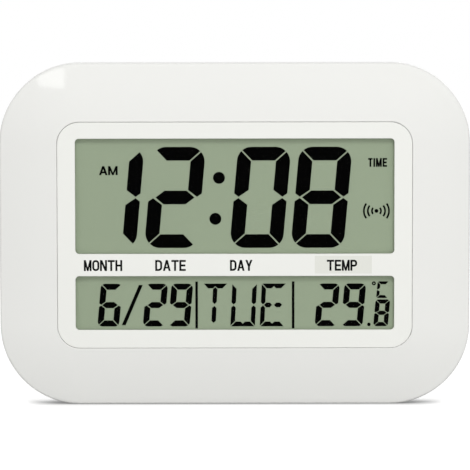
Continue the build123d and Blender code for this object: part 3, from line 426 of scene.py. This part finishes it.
def display_finish():
    """Green-grey ground of the display, with the fine sparkle of its rear film."""
    material, tree, shader = new_finish("display_ground", IOR=1.4)
    sparkle_height = 0.000003
    skin = place_group(tree, moulded_skin, Colour=(0.325, 0.374, 0.275, 1.0), Tone_Spread=0.035,
                       Tone_Scale=16.0, Grain_Scale=5200.0, Roughness=0.55, Roughness_Spread=0.1)
    tree.links.new(skin.outputs["Colour"], shader.inputs["Base Color"])
    tree.links.new(skin.outputs["Roughness"], shader.inputs["Roughness"])
    add_bump(tree, shader, skin.outputs["Height"], sparkle_height)
    return material


def bezel_finish():
    """White bezel: a polished front with a clear coat, and a satin skirt behind its rim."""
    polish, satin, coat = 0.065, 0.3, 0.25
    rim_front, rim_back = -0.0208, -0.0202
    grain_height = 0.000001
    material, tree, shader = new_finish("white_gloss", Coat_Roughness=0.04)
    skin = place_group(tree, moulded_skin, Colour=(0.823, 0.825, 0.801, 1.0), Tone_Spread=0.012,
                       Grain_Scale=700.0, Roughness=polish, Roughness_Spread=0.02)
    skirt = add_node(tree, "ShaderNodeMapRange", interpolation_type="SMOOTHSTEP")
    skirt.inputs["From Min"].default_value = rim_front
    skirt.inputs["From Max"].default_value = rim_back
    tree.links.new(axis_share(tree, "Y"), skirt.inputs["Value"])
    behind = skirt.outputs["Result"]
    rough = math(tree, "MULTIPLY_ADD", behind, satin - polish, skin.outputs["Roughness"])
    tree.links.new(skin.outputs["Colour"], shader.inputs["Base Color"])
    tree.links.new(rough, shader.inputs["Roughness"])
    tree.links.new(math(tree, "MULTIPLY_ADD", behind, -coat, coat), shader.inputs["Coat Weight"])
    add_bump(tree, shader, skin.outputs["Height"], grain_height)
    return material


white_gloss = bezel_finish()
white_satin = moulded_finish("white_satin", (0.862, 0.867, 0.832), 0.38, tone_spread=0.012,
                             grain_scale=2600.0, grain_height=0.000004)
# The dust values below also paint shade into the recesses of these parts
white_matte = moulded_finish("white_matte", (0.77, 0.77, 0.745), 0.55, tone_spread=0.02, grain_scale=1900.0,
                             grain_height=0.00002, dust=0.3, dust_and_shade_reach=0.003)
white_lever = moulded_finish("white_lever", (0.75, 0.75, 0.725), 0.45, tone_spread=0.02, grain_scale=1900.0,
                             grain_height=0.000012, dust=0.25, rub=0.35, rub_colour=(0.86, 0.86, 0.84))
button_grey = moulded_finish("button_grey", (0.42, 0.43, 0.435), 0.5, tone_spread=0.03, grain_scale=2400.0,
                             grain_height=0.000015, dust=0.25, dust_and_shade_reach=0.001, rub=0.4,
                             rub_colour=(0.6, 0.61, 0.61))
black_plastic = moulded_finish("black_plastic", (0.018, 0.018, 0.019), 0.42, tone_spread=0.15, rub=0.3,
                               rub_colour=(0.08, 0.08, 0.08))
plunger_black = moulded_finish("plunger_black", (0.022, 0.022, 0.022), 0.5, tone_spread=0.12)
black_foam = moulded_finish("black_foam", (0.014, 0.014, 0.014), 0.9, tone_spread=0.4, grain_scale=2200.0,
                            grain_height=0.00008)
display_ink = moulded_finish("display_ink", (0.0015, 0.0015, 0.0015), 0.6, tone_spread=0.2,
                             grain_scale=3000.0, grain_height=0.000002, Specular_IOR_Level=0.0)
caption_ink = moulded_finish("caption_ink", (0.004, 0.004, 0.004), 0.55, tone_spread=0.2, grain_scale=3000.0,
                             grain_height=0.000003, Specular_IOR_Level=0.05)
pale_plate = moulded_finish("pale_plate", (0.77, 0.778, 0.725), 0.45, tone_spread=0.012, grain_scale=2600.0,
                            grain_height=0.000004)
ferrite_grey = moulded_finish("ferrite_grey", (0.045, 0.044, 0.046), 0.6, tone_spread=0.3, grain_scale=1800.0,
                              grain_height=0.00003, rub=0.4, rub_colour=(0.12, 0.12, 0.12))
nickel_steel = metal_finish("nickel_steel", (0.63, 0.62, 0.6), 0.28)
aluminium_can = metal_finish("aluminium_can", (0.74, 0.75, 0.77), 0.36, line_scale=1800.0)

finishes = {
    white_gloss: ["front_bezel"],
    white_satin: ["face_panel"],
    white_matte: ["rear_cover", "display_holder"],
    white_lever: ["battery_door", "desk_stand"],
    black_foam: ["dust_gasket"],
    glass_finish(): ["display_front_glass"],
    display_finish(): ["display_rear_glass", "display_reflector"],
    display_ink: ["time_segments", "calendar_segments"],
    layered_strip_finish(): ["connector_strip"],
    board_finish(): ["main_board", "button_board"],
    black_plastic: ["controller_chip", "receiver_chip", "switch_housings", "alarm_buzzer",
                    "temperature_sensor"],
    nickel_steel: ["quartz_crystal", "holder_screws", "board_screws", "case_screws", "button_board_screws",
                   "bridge_contact", "negative_contact", "positive_contact"],
    aluminium_can: ["buffer_capacitor"],
    cell_finish("upper_cell_sleeve", -1.0): ["upper_battery_cell"],
    cell_finish("lower_cell_sleeve", 1.0): ["lower_battery_cell"],
    ferrite_grey: ["ferrite_rod"],
    winding_finish(): ["aerial_coil"],
    button_grey: [f"{name}_button" for name in BUTTONS],
    plunger_black: [f"{name}_switch_plunger" for name in BUTTONS],
}
for finish, names in finishes.items():
    for name in names:
        mesh = nodes[name].data
        mesh.materials.clear()
        mesh.materials.append(finish)


# Lettering: plain strokes, joined into one flat solid per word

ARC_STEPS = 8
DISC_STEPS = 32
SIGN_ARC_STEPS = 14


def rounded_path(corners, closed):
    """Points of a path through (x, y, radius) corners, each rounded by its radius."""
    points = []
    count = len(corners)
    for index, (x, y, radius) in enumerate(corners):
        if radius == 0 or (not closed and index in (0, count - 1)):
            points.append((x, y))
            continue
        before = corners[index - 1]
        after = corners[(index + 1) % count]
        enter = Vector((before[0] - x, before[1] - y)).normalized()
        leave = Vector((after[0] - x, after[1] - y)).normalized()
        half = enter.angle(leave) / 2
        reach = radius / tan(half)
        centre = Vector((x, y)) + (enter + leave).normalized() * radius / sin(half)
        start = Vector((x, y)) + enter * reach - centre
        end = Vector((x, y)) + leave * reach - centre
        first = atan2(start.y, start.x)
        sweep = (atan2(end.y, end.x) - first + pi) % (2 * pi) - pi
        for step in range(ARC_STEPS + 1):
            angle = first + sweep * step / ARC_STEPS
            points.append((centre.x + radius * cos(angle), centre.y + radius * sin(angle)))
    return points


def ribbon(points, width, closed=False):
    """Quads of a stroke of even width along a path, mitred at its corners."""
    count = len(points)
    rails = []
    for index in range(count):
        here = Vector(points[index])
        behind = Vector(points[index - 1]) if closed or index > 0 else None
        ahead = Vector(points[(index + 1) % count]) if closed or index < count - 1 else None
        sides = []
        if behind is not None:
            sides.append((here - behind).normalized())
        if ahead is not None:
            sides.append((ahead - here).normalized())
        normals = [Vector((-side.y, side.x)) for side in sides]
        normal = sum(normals, Vector((0.0, 0.0))).normalized()
        reach = width / 2 / normal.dot(normals[0])
        rails.append((here + normal * reach, here - normal * reach))
    last = count if closed else count - 1
    quads = []
    for index in range(last):
        left, right = rails[index]
        next_left, next_right = rails[(index + 1) % count]
        quads.append([tuple(left), tuple(next_left), tuple(next_right), tuple(right)])
    return quads


def bar(first, second, width):
    """A straight stroke with square ends that stand out by half its width."""
    start, end = Vector(first), Vector(second)
    along = (end - start).normalized() * width / 2
    return ribbon([tuple(start - along), tuple(end + along)], width)


def slant(first, second, width):
    """A leaning stroke whose ends are cut level."""
    run, rise = second[0] - first[0], second[1] - first[1]
    half = width / 2 * hypot(run, rise) / abs(rise)
    return [[(first[0] - half, first[1]), (first[0] + half, first[1]),
             (second[0] + half, second[1]), (second[0] - half, second[1])]]


# Widths as shares of the height; a width of 0 stands for one stroke
LETTER_WIDTHS = {"A": 0.68, "D": 0.6, "E": 0.55, "H": 0.6, "I": 0.0, "L": 0.53, "M": 0.68, "N": 0.62,
                 "O": 0.62, "P": 0.58, "R": 0.6, "S": 0.6, "T": 0.62, "U": 0.6, "V": 0.66, "W": 0.9,
                 "Y": 0.66}

# Turns as shares of the room between the strokes
BOWL_TURN, BOWL_PARTS, D_TURN, O_TURN, S_TURN, U_TURN = 0.62, 4.4, 1.3, 0.96, 0.47, 0.48
# Places as shares of the height, and of the width for W
A_CROSSING, WAIST, S_LOW_END, S_HIGH_END, Y_FORK, W_QUARTER = 0.3, 0.46, 0.32, 0.68, 0.42, 0.27
# Thinner strokes, feet and insets as shares of the stroke
THIN_STROKE, SLANT_FOOT, E_INSET, JOIN_INSET = 0.85, 0.55, 0.2, 0.1


def letter_shapes(letter, width, height, stroke):
    """Quads of one capital letter in a box from the origin."""
    low, high = stroke / 2, height - stroke / 2
    left, right = stroke / 2, width - stroke / 2
    middle = height / 2
    centre = width / 2
    foot = stroke * SLANT_FOOT
    join = stroke * JOIN_INSET
    bowl = min((right - left) * BOWL_TURN, (high - low) / BOWL_PARTS)
    stem = bar((left, low), (left, high), stroke)
    far_stem = bar((right, low), (right, high), stroke)
    if letter == "I":
        return bar((centre, low), (centre, high), stroke)
    if letter == "A":
        crossing = height * A_CROSSING
        inset = (centre - foot) * crossing / height + foot
        legs = slant((foot, 0), (centre, height), stroke)
        legs += slant((width - foot, 0), (centre, height), stroke)
        return legs + ribbon([(inset, crossing), (width - inset, crossing)], stroke * THIN_STROKE)
    if letter == "D":
        loop = [(left, low, 0), (right, low, bowl * D_TURN), (right, high, bowl * D_TURN), (left, high, 0)]
        return ribbon(rounded_path(loop, True), stroke, True)
    if letter == "E":
        return (stem + bar((left, low), (right, low), stroke) + bar((left, high), (right, high), stroke)
                + bar((left, middle), (right - stroke * E_INSET, middle), stroke))
    if letter == "H":
        return stem + far_stem + bar((left, middle), (right, middle), stroke)
    if letter == "L":
        return stem + bar((left, low), (right, low), stroke)
    if letter == "M":
        return (stem + far_stem + slant((left + join, height), (centre, 0), stroke * THIN_STROKE)
                + slant((right - join, height), (centre, 0), stroke * THIN_STROKE))
    if letter == "N":
        return stem + far_stem + slant((left + join, height), (right - join, 0), stroke)
    if letter == "O":
        turn = min(right - left, high - low) / 2 * O_TURN
        loop = [(left, low, turn), (right, low, turn), (right, high, turn), (left, high, turn)]
        return ribbon(rounded_path(loop, True), stroke, True)
    if letter in "PR":
        waist = height * WAIST
        loop = [(left, waist, 0), (right, waist, bowl), (right, high, bowl), (left, high, 0)]
        shapes = stem + ribbon(rounded_path(loop, True), stroke, True)
        if letter == "R":
            shapes += slant((width - foot, 0), (centre, waist), stroke)
        return shapes
    if letter == "S":
        turn = min((right - left) * S_TURN, (high - low) / BOWL_PARTS)
        path = [(left, height * S_LOW_END, 0), (left, low, turn), (right, low, turn), (right, middle, turn),
                (left, middle, turn), (left, high, turn), (right, high, turn),
                (right, height * S_HIGH_END, 0)]
        return ribbon(rounded_path(path, False), stroke)
    if letter == "T":
        return bar((left, high), (right, high), stroke) + bar((centre, low), (centre, high), stroke)
    if letter == "U":
        turn = (right - left) * U_TURN
        path = [(left, height, 0), (left, low, turn), (right, low, turn), (right, height, 0)]
        return ribbon(rounded_path(path, False), stroke)
    if letter == "V":
        return slant((centre, 0), (foot, height), stroke) + slant((centre, 0), (width - foot, height), stroke)
    if letter == "W":
        quarter = width * W_QUARTER
        return (slant((quarter, 0), (foot, height), stroke) + slant((quarter, 0), (centre, height), stroke)
                + slant((width - quarter, 0), (centre, height), stroke)
                + slant((width - quarter, 0), (width - foot, height), stroke))
    fork = height * Y_FORK
    arms = slant((centre, fork), (foot, height), stroke)
    arms += slant((centre, fork), (width - foot, height), stroke)
    return arms + ribbon([(centre, 0), (centre, fork + stroke / 2)], stroke)


def word_shapes(word, length, height, stroke, gap_share=0.15, widths=LETTER_WIDTHS):
    """Quads of a word that fills a given length, from its lower left corner."""
    natural = [max(widths[letter] * height, stroke) for letter in word]
    gap = gap_share * height
    fixed = sum(stroke for letter in word if widths[letter] == 0)
    free = sum(natural) - fixed + gap * (len(word) - 1)
    fit = (length - fixed) / free
    shapes = []
    start = 0.0
    for letter, width in zip(word, natural):
        drawn = stroke if widths[letter] == 0 else width * fit
        shapes += moved(letter_shapes(letter, drawn, height, stroke), start, 0.0)
        start += drawn + gap * fit
    return shapes


def on_circle(centre, radius, angle):
    return centre[0] + radius * cos(angle), centre[1] + radius * sin(angle)


def disc(centre, radius):
    return [[on_circle(centre, radius, 2 * pi * step / DISC_STEPS) for step in range(DISC_STEPS)]]


def arc_stroke(centre, radius, middle_angle, half_angle, width):
    """A stroke along an arc, from its middle angle to both sides, in degrees."""
    shares = [2 * step / SIGN_ARC_STEPS - 1 for step in range(SIGN_ARC_STEPS + 1)]
    angles = [radians(middle_angle + half_angle * share) for share in shares]
    return ribbon([on_circle(centre, radius, angle) for angle in angles], width)


# Points closer than this are one, in millimetres; faces within this angle are flat, in degrees
JOIN_DISTANCE, FLAT_ANGLE = 0.0005, 0.5


def area_normal(outline):
    """Twice the area of a flat outline, above zero if it runs anticlockwise."""
    return sum(here.cross(after) for here, after in zip(outline, outline[1:] + outline[:1]))


def flat_solid(name, shapes, back, front, finish, body, mirror=False):
    """One thin solid from overlapping flat shapes in (X, Z), between two depths; mirror faces the rear."""
    points, faces = [], []
    for shape in shapes:
        outline = [Vector((-x if mirror else x, z)) for x, z in shape]
        if area_normal(outline) < 0:
            outline.reverse()
        faces.append(list(range(len(points), len(points) + len(outline))))
        points += outline
    flat, _, triangles, _, _, owners = delaunay_2d_cdt(points, [], faces, 0, JOIN_DISTANCE)
    kept = [triangle for triangle, owner in zip(triangles, owners) if owner]
    mesh = bmesh.new()
    near = [mesh.verts.new((point.x * MM, -front * MM, point.y * MM)) for point in flat]
    far = [mesh.verts.new((point.x * MM, -back * MM, point.y * MM)) for point in flat]
    edges = {}
    for triangle in kept:
        mesh.faces.new([near[index] for index in triangle])
        mesh.faces.new([far[index] for index in reversed(triangle)])
        for first, second in zip(triangle, triangle[1:] + triangle[:1]):
            edges[(first, second)] = True
    for first, second in edges:
        if (second, first) not in edges:
            mesh.faces.new([near[second], near[first], far[first], far[second]])
    bmesh.ops.delete(mesh, geom=[vert for vert in mesh.verts if not vert.link_faces], context="VERTS")
    bmesh.ops.dissolve_limit(mesh, angle_limit=radians(FLAT_ANGLE), verts=mesh.verts, edges=mesh.edges)
    bmesh.ops.recalc_face_normals(mesh, faces=mesh.faces)
    return new_piece(name, mesh, finish, body)


def new_piece(name, mesh, finish, body):
    """An object from a finished bmesh, on its body."""
    data = bpy.data.meshes.new(name)
    mesh.to_mesh(data)
    mesh.free()
    data.materials.append(finish)
    piece = bpy.data.objects.new(name, data)
    bpy.context.scene.collection.objects.link(piece)
    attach(piece, body)
    return piece


def moved(shapes, x, z):
    return [[(px + x, pz + z) for px, pz in shape] for shape in shapes]


# Words and signs of the display, in the same layer as the segments
segment_low, segment_high = (millimetres(corner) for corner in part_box("time_segments"))
ink_back, ink_front = -segment_high[1], -segment_low[1]
AM_WIDTHS = {"A": 0.9, "M": 1.0}
TIME_WIDTHS = {"T": 0.5, "I": 0.0, "M": 0.66, "E": 0.5}
# Word, its length, height, stroke, gap share and letter widths, then its left end and base line
DISPLAY_WORDS = (
    ("AM", 10.7, 5.1, 1.15, 0.06, AM_WIDTHS, -77.8, 34.5),
    ("TIME", 10.8, 5.0, 0.94, 0.1, TIME_WIDTHS, 76.5, 39.05),
)
for word, length, height, stroke, gap_share, widths, left_end, base_line in DISPLAY_WORDS:
    sign = moved(word_shapes(word, length, height, stroke, gap_share, widths), left_end, base_line)
    flat_solid(f"{word.lower()}_sign", sign, ink_back, ink_front, display_ink, "case")
WAVE_CENTRE, WAVE_DOT, WAVE_STROKE = (81.3, 13.65), 1.1, 1.0
# Radius and half angle of each pair of arcs, in millimetres and degrees
WAVE_ARCS = ((7.2, 36), (4.95, 38), (2.6, 42))
wave_shapes = disc(WAVE_CENTRE, WAVE_DOT)
for radius, half_angle in WAVE_ARCS:
    for middle in (0, 180):
        wave_shapes += arc_stroke(WAVE_CENTRE, radius, middle, half_angle, WAVE_STROKE)
flat_solid("wave_sign", wave_shapes, ink_back, ink_front, display_ink, "case")

# Captions printed on the face panel
panel_low, _ = (millimetres(corner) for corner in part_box("face_panel"))
panel_front = -panel_low[1]
PRINT = 0.02
CAPTION_HEIGHT, CAPTION_STROKE, CAPTION_GAP_SHARE, CAPTION_BASE = 6.3, 1.12, 0.06, -20.45
PLATE_LEFT, PLATE_RIGHT, PLATE_LOW, PLATE_HIGH = 45.9, 78.6, -22.1, -11.8
plate_corners = [(PLATE_LEFT, PLATE_LOW), (PLATE_RIGHT, PLATE_LOW), (PLATE_RIGHT, PLATE_HIGH),
                 (PLATE_LEFT, PLATE_HIGH)]
flat_solid("temp_plate", [plate_corners], panel_front, panel_front + PRINT, pale_plate, "case")
# Word, its left end and length, and what it is printed on above the panel
CAPTIONS = (("MONTH", -86.6, 22.0, 0), ("DATE", -45.7, 17.55, 0), ("DAY", -2.8, 12.95, 0),
            ("TEMP", 52.8, 17.35, PRINT))
for word, left_end, length, lift in CAPTIONS:
    caption = word_shapes(word, length, CAPTION_HEIGHT, CAPTION_STROKE, CAPTION_GAP_SHARE)
    flat_solid(f"{word.lower()}_caption", moved(caption, left_end, CAPTION_BASE),
               panel_front + lift, panel_front + lift + PRINT, caption_ink, "case")

# Button names printed in the sunk field on the back
FIELD_DEPTH = 2.0
LABEL_HEIGHT, LABEL_STROKE, LABEL_RISE, LABEL_GAP = 2.7, 0.45, 6.1, 0.4
for name in BUTTONS:
    low, high = (millimetres(corner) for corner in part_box(f"{name}_button"))
    button_x, button_z = (low[0] + high[0]) / 2, (low[2] + high[2]) / 2
    length = sum(LETTER_WIDTHS[letter] for letter in name.upper()) * LABEL_HEIGHT + LABEL_GAP * len(name)
    label = word_shapes(name.upper(), length, LABEL_HEIGHT, LABEL_STROKE)
    flat_solid(f"{name}_label", moved(label, -button_x - length / 2, button_z + LABEL_RISE),
               FIELD_DEPTH - PRINT, FIELD_DEPTH, caption_ink, "case", mirror=True)

# Opening sign on the battery door
door_low, door_high = (millimetres(corner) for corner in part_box("battery_door"))
door_back = -door_high[1]
door_foot = door_low[2]
OPEN_LENGTH, OPEN_HEIGHT, OPEN_STROKE, OPEN_RISE = 13.0, 3.4, 0.5, 17.0
ARROW_REACH, ARROW_BASE, ARROW_TIP = 2.6, 15.4, 12.2
open_word = word_shapes("OPEN", OPEN_LENGTH, OPEN_HEIGHT, OPEN_STROKE)
open_shapes = moved(open_word, -OPEN_LENGTH / 2, door_foot + OPEN_RISE)
open_shapes.append([(-ARROW_REACH, door_foot + ARROW_BASE), (ARROW_REACH, door_foot + ARROW_BASE),
                    (0.0, door_foot + ARROW_TIP)])
flat_solid("open_sign", open_shapes, door_back - PRINT, door_back, caption_ink, "battery_door",
           mirror=True)


# Battery springs: two tapering coils of wire in place of the plain cones

SPRING_TURNS, SPRING_DEAD_TURNS, SPRING_LENGTH = 4.5, 0.75, 4.5
SPRING_BASE_RADIUS, SPRING_TIP_RADIUS, WIRE_RADIUS = 4.2, 2.6, 0.36
TURN_STEPS, WIRE_SIDES = 28, 8


def wire_along(mesh, path):
    """A closed tube of wire along a path of points in millimetres."""
    rings = []
    side = None
    angles = [2 * pi * step / WIRE_SIDES for step in range(WIRE_SIDES)]
    for index, point in enumerate(path):
        ahead = path[min(index + 1, len(path) - 1)]
        behind = path[max(index - 1, 0)]
        along = (ahead - behind).normalized()
        if side is None:
            side = along.orthogonal().normalized()
        else:
            side = (side - along * side.dot(along)).normalized()
        cross = along.cross(side)
        ring = [point + (side * cos(angle) + cross * sin(angle)) * WIRE_RADIUS for angle in angles]
        rings.append([mesh.verts.new(place * MM) for place in ring])
    for first, second in zip(rings, rings[1:]):
        for step in range(WIRE_SIDES):
            after = (step + 1) % WIRE_SIDES
            mesh.faces.new([first[step], first[after], second[after], second[step]])
    mesh.faces.new(list(reversed(rings[0])))
    mesh.faces.new(rings[-1])


def battery_spring(mesh, axis_depth, axis_z, base_x, tip_x):
    """A tapering coil from its base on the contact to its tip on the cell."""
    base_radius, tip_radius = SPRING_BASE_RADIUS - WIRE_RADIUS, SPRING_TIP_RADIUS - WIRE_RADIUS
    toward = 1 if tip_x > base_x else -1
    start, end = base_x + toward * WIRE_RADIUS, tip_x - toward * WIRE_RADIUS
    rising_turns = SPRING_TURNS - 2 * SPRING_DEAD_TURNS
    path = []
    count = int(SPRING_TURNS * TURN_STEPS)
    for step in range(count + 1):
        share = step / count
        rise = min(max((share * SPRING_TURNS - SPRING_DEAD_TURNS) / rising_turns, 0.0), 1.0)
        radius = base_radius + (tip_radius - base_radius) * share
        angle = 2 * pi * SPRING_TURNS * share
        path.append(Vector((start + (end - start) * rise, -axis_depth + radius * cos(angle),
                            axis_z + radius * sin(angle))))
    wire_along(mesh, path)


spring_mesh = bmesh.new()
spring_low, spring_high = (millimetres(corner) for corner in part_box("battery_springs"))
for cell, side in (("upper_battery_cell", 1), ("lower_battery_cell", -1)):
    low, high = (millimetres(corner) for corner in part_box(cell))
    base = spring_high[0] if side > 0 else spring_low[0]
    axis_depth, axis_z = -(low[1] + high[1]) / 2, (low[2] + high[2]) / 2
    battery_spring(spring_mesh, axis_depth, axis_z, base, base - side * SPRING_LENGTH)
bmesh.ops.recalc_face_normals(spring_mesh, faces=spring_mesh.faces)
springs = new_piece("battery_spring_wires", spring_mesh, nickel_steel, "case")
for polygon in springs.data.polygons:
    polygon.use_smooth = True
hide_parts("battery_springs")


# Stage: pale floor under the clock, soft lamps, white surround and the camera

WHITE, SOFT_WHITE = (1.0, 1.0, 1.0, 1.0), (1.0, 0.998, 0.985, 1.0)
FLOOR_REACH, FLOOR_BOUNCE = 6.0, (0.36, 0.36, 0.36, 1.0)
CONTACT_REACH, CONTACT_SHADE = 0.01, 0.68
FLOOR_SHOWN, FLOOR_GLOW = 0.6, 0.62
FADE_START, FADE_END = 0.3, 0.9
AMBIENT = 0.59


def seen_directly(tree):
    """1 for what the camera sees, also in reflections and through glass, and 0 for light that bounces."""
    ray = add_node(tree, "ShaderNodeLightPath")
    mirrored = math(tree, "MAXIMUM", ray.outputs["Is Glossy Ray"], ray.outputs["Is Transmission Ray"])
    return math(tree, "MAXIMUM", ray.outputs["Is Camera Ray"], mirrored)


def make_floor(height, reach):
    """A pale floor that keeps the shadow near the clock and turns plain white further away."""
    mesh = bmesh.new()
    corners = [(-reach, -reach), (reach, -reach), (reach, reach), (-reach, reach)]
    mesh.faces.new([mesh.verts.new((x, y, height)) for x, y in corners])
    data = bpy.data.meshes.new("floor")
    mesh.to_mesh(data)
    mesh.free()
    material = bpy.data.materials.new("pale_floor")
    material.use_nodes = True
    tree = material.node_tree
    tree.nodes.clear()
    output = add_node(tree, "ShaderNodeOutputMaterial")
    seen = seen_directly(tree)
    lit = add_node(tree, "ShaderNodeBsdfDiffuse")
    lit.inputs["Color"].default_value = FLOOR_BOUNCE
    contact = add_node(tree, "ShaderNodeAmbientOcclusion", samples=16)
    contact.inputs["Distance"].default_value = CONTACT_REACH
    shade = math(tree, "MULTIPLY_ADD", contact.outputs["AO"], CONTACT_SHADE, 1.0 - CONTACT_SHADE)
    shown = add_node(tree, "ShaderNodeBsdfDiffuse")
    tree.links.new(math(tree, "MULTIPLY", shade, FLOOR_SHOWN), shown.inputs["Color"])
    glow = add_node(tree, "ShaderNodeEmission")
    tree.links.new(shade, glow.inputs["Color"])
    glow.inputs["Strength"].default_value = FLOOR_GLOW
    white = add_node(tree, "ShaderNodeEmission")
    both = add_node(tree, "ShaderNodeAddShader")
    tree.links.new(shown.outputs[0], both.inputs[0])
    tree.links.new(glow.outputs[0], both.inputs[1])
    distance = add_node(tree, "ShaderNodeVectorMath", operation="LENGTH")
    tree.links.new(part_space(tree), distance.inputs[0])
    fade = add_node(tree, "ShaderNodeMapRange", interpolation_type="SMOOTHSTEP")
    fade.inputs["From Min"].default_value = FADE_START
    fade.inputs["From Max"].default_value = FADE_END
    tree.links.new(distance.outputs["Value"], fade.inputs["Value"])
    faded = add_node(tree, "ShaderNodeMixShader")
    tree.links.new(fade.outputs["Result"], faded.inputs["Fac"])
    tree.links.new(both.outputs[0], faded.inputs[1])
    tree.links.new(white.outputs[0], faded.inputs[2])
    chosen = add_node(tree, "ShaderNodeMixShader")
    tree.links.new(seen, chosen.inputs["Fac"])
    tree.links.new(lit.outputs[0], chosen.inputs[1])
    tree.links.new(faded.outputs[0], chosen.inputs[2])
    tree.links.new(chosen.outputs[0], output.inputs["Surface"])
    data.materials.append(material)
    floor = bpy.data.objects.new("floor", data)
    bpy.context.scene.collection.objects.link(floor)


def make_surround(ambient):
    """White to look at and in reflections, with an even soft light of its own."""
    world = bpy.data.worlds.new("studio")
    world.use_nodes = True
    tree = world.node_tree
    tree.nodes.clear()
    output = add_node(tree, "ShaderNodeOutputWorld")
    seen = seen_directly(tree)
    white = add_node(tree, "ShaderNodeBackground")
    white.inputs["Color"].default_value = WHITE
    soft = add_node(tree, "ShaderNodeBackground")
    soft.inputs["Color"].default_value = SOFT_WHITE
    soft.inputs["Strength"].default_value = ambient
    chosen = add_node(tree, "ShaderNodeMixShader")
    tree.links.new(seen, chosen.inputs["Fac"])
    tree.links.new(soft.outputs[0], chosen.inputs[1])
    tree.links.new(white.outputs[0], chosen.inputs[2])
    tree.links.new(chosen.outputs[0], output.inputs["Surface"])
    bpy.context.scene.world = world


def make_softbox(name, place, target, width, height, power, mirrored):
    """A square-on softbox that points at a target; reflections show it only if mirrored is set."""
    lamp = bpy.data.lights.new(name, "AREA")
    lamp.shape = "RECTANGLE"
    lamp.size = width
    lamp.size_y = height
    lamp.energy = power
    softbox = bpy.data.objects.new(name, lamp)
    softbox.location = place
    softbox.rotation_mode = "QUATERNION"
    softbox.rotation_quaternion = (Vector(target) - Vector(place)).to_track_quat("-Z", "Y")
    softbox.visible_camera = False
    softbox.visible_glossy = mirrored
    bpy.context.scene.collection.objects.link(softbox)


MIDDLE, UPPER_CORNER = (0.0, 0.0, 0.0), (-0.104, -0.023, 0.088)
# Name, place, target, width and height in metres, power in watts, and whether reflections show it
SOFTBOXES = (
    ("key_softbox", (0.1, -1.22, 1.0), MIDDLE, 0.6, 0.4, 7.0, False),
    ("front_softbox", (0.3, -1.9, 0.0), MIDDLE, 1.4, 0.18, 12.0, False),
    ("corner_softbox", (-0.428, -1.39, 0.615), UPPER_CORNER, 0.27, 0.18, 0.33, True),
    ("rear_softbox", (0.3, 1.6, 0.3), MIDDLE, 0.9, 0.7, 15.0, False),
)
make_floor(cad_low.z, FLOOR_REACH)
make_surround(AMBIENT)
for softbox in SOFTBOXES:
    make_softbox(*softbox)

# Camera: a long lens a little above the middle of the clock, square on
FRAME_PIXELS = 470
PIXEL = 0.57451 * MM
BODY_CENTRE = (234.78, 234.4)
CAMERA_DISTANCE, CAMERA_RISE, CAMERA_ROLL = 2.4, 5.94, 0.08
SENSOR_WIDTH = 36.0
AIM_DEPTH = 22.4 * MM
half_frame = FRAME_PIXELS / 2
target = Vector((0.0, -AIM_DEPTH, 0.0))
lens = bpy.data.cameras.new("camera")
lens.sensor_width = SENSOR_WIDTH
lens.lens = lens.sensor_width * CAMERA_DISTANCE / (FRAME_PIXELS * PIXEL)
lens.shift_x = (half_frame - BODY_CENTRE[0]) / FRAME_PIXELS
lens.shift_y = (BODY_CENTRE[1] - half_frame) / FRAME_PIXELS
camera = bpy.data.objects.new("camera", lens)
rise = radians(CAMERA_RISE)
camera.location = target + Vector((0.0, -cos(rise), sin(rise))) * CAMERA_DISTANCE
camera.rotation_mode = "QUATERNION"
square_on = (target - camera.location).to_track_quat("-Z", "Y")
camera.rotation_quaternion = square_on @ Quaternion((0.0, 0.0, 1.0), radians(-CAMERA_ROLL))
bpy.context.scene.collection.objects.link(camera)
bpy.context.scene.camera = camera
bpy.context.scene.view_settings.view_transform = "Standard"
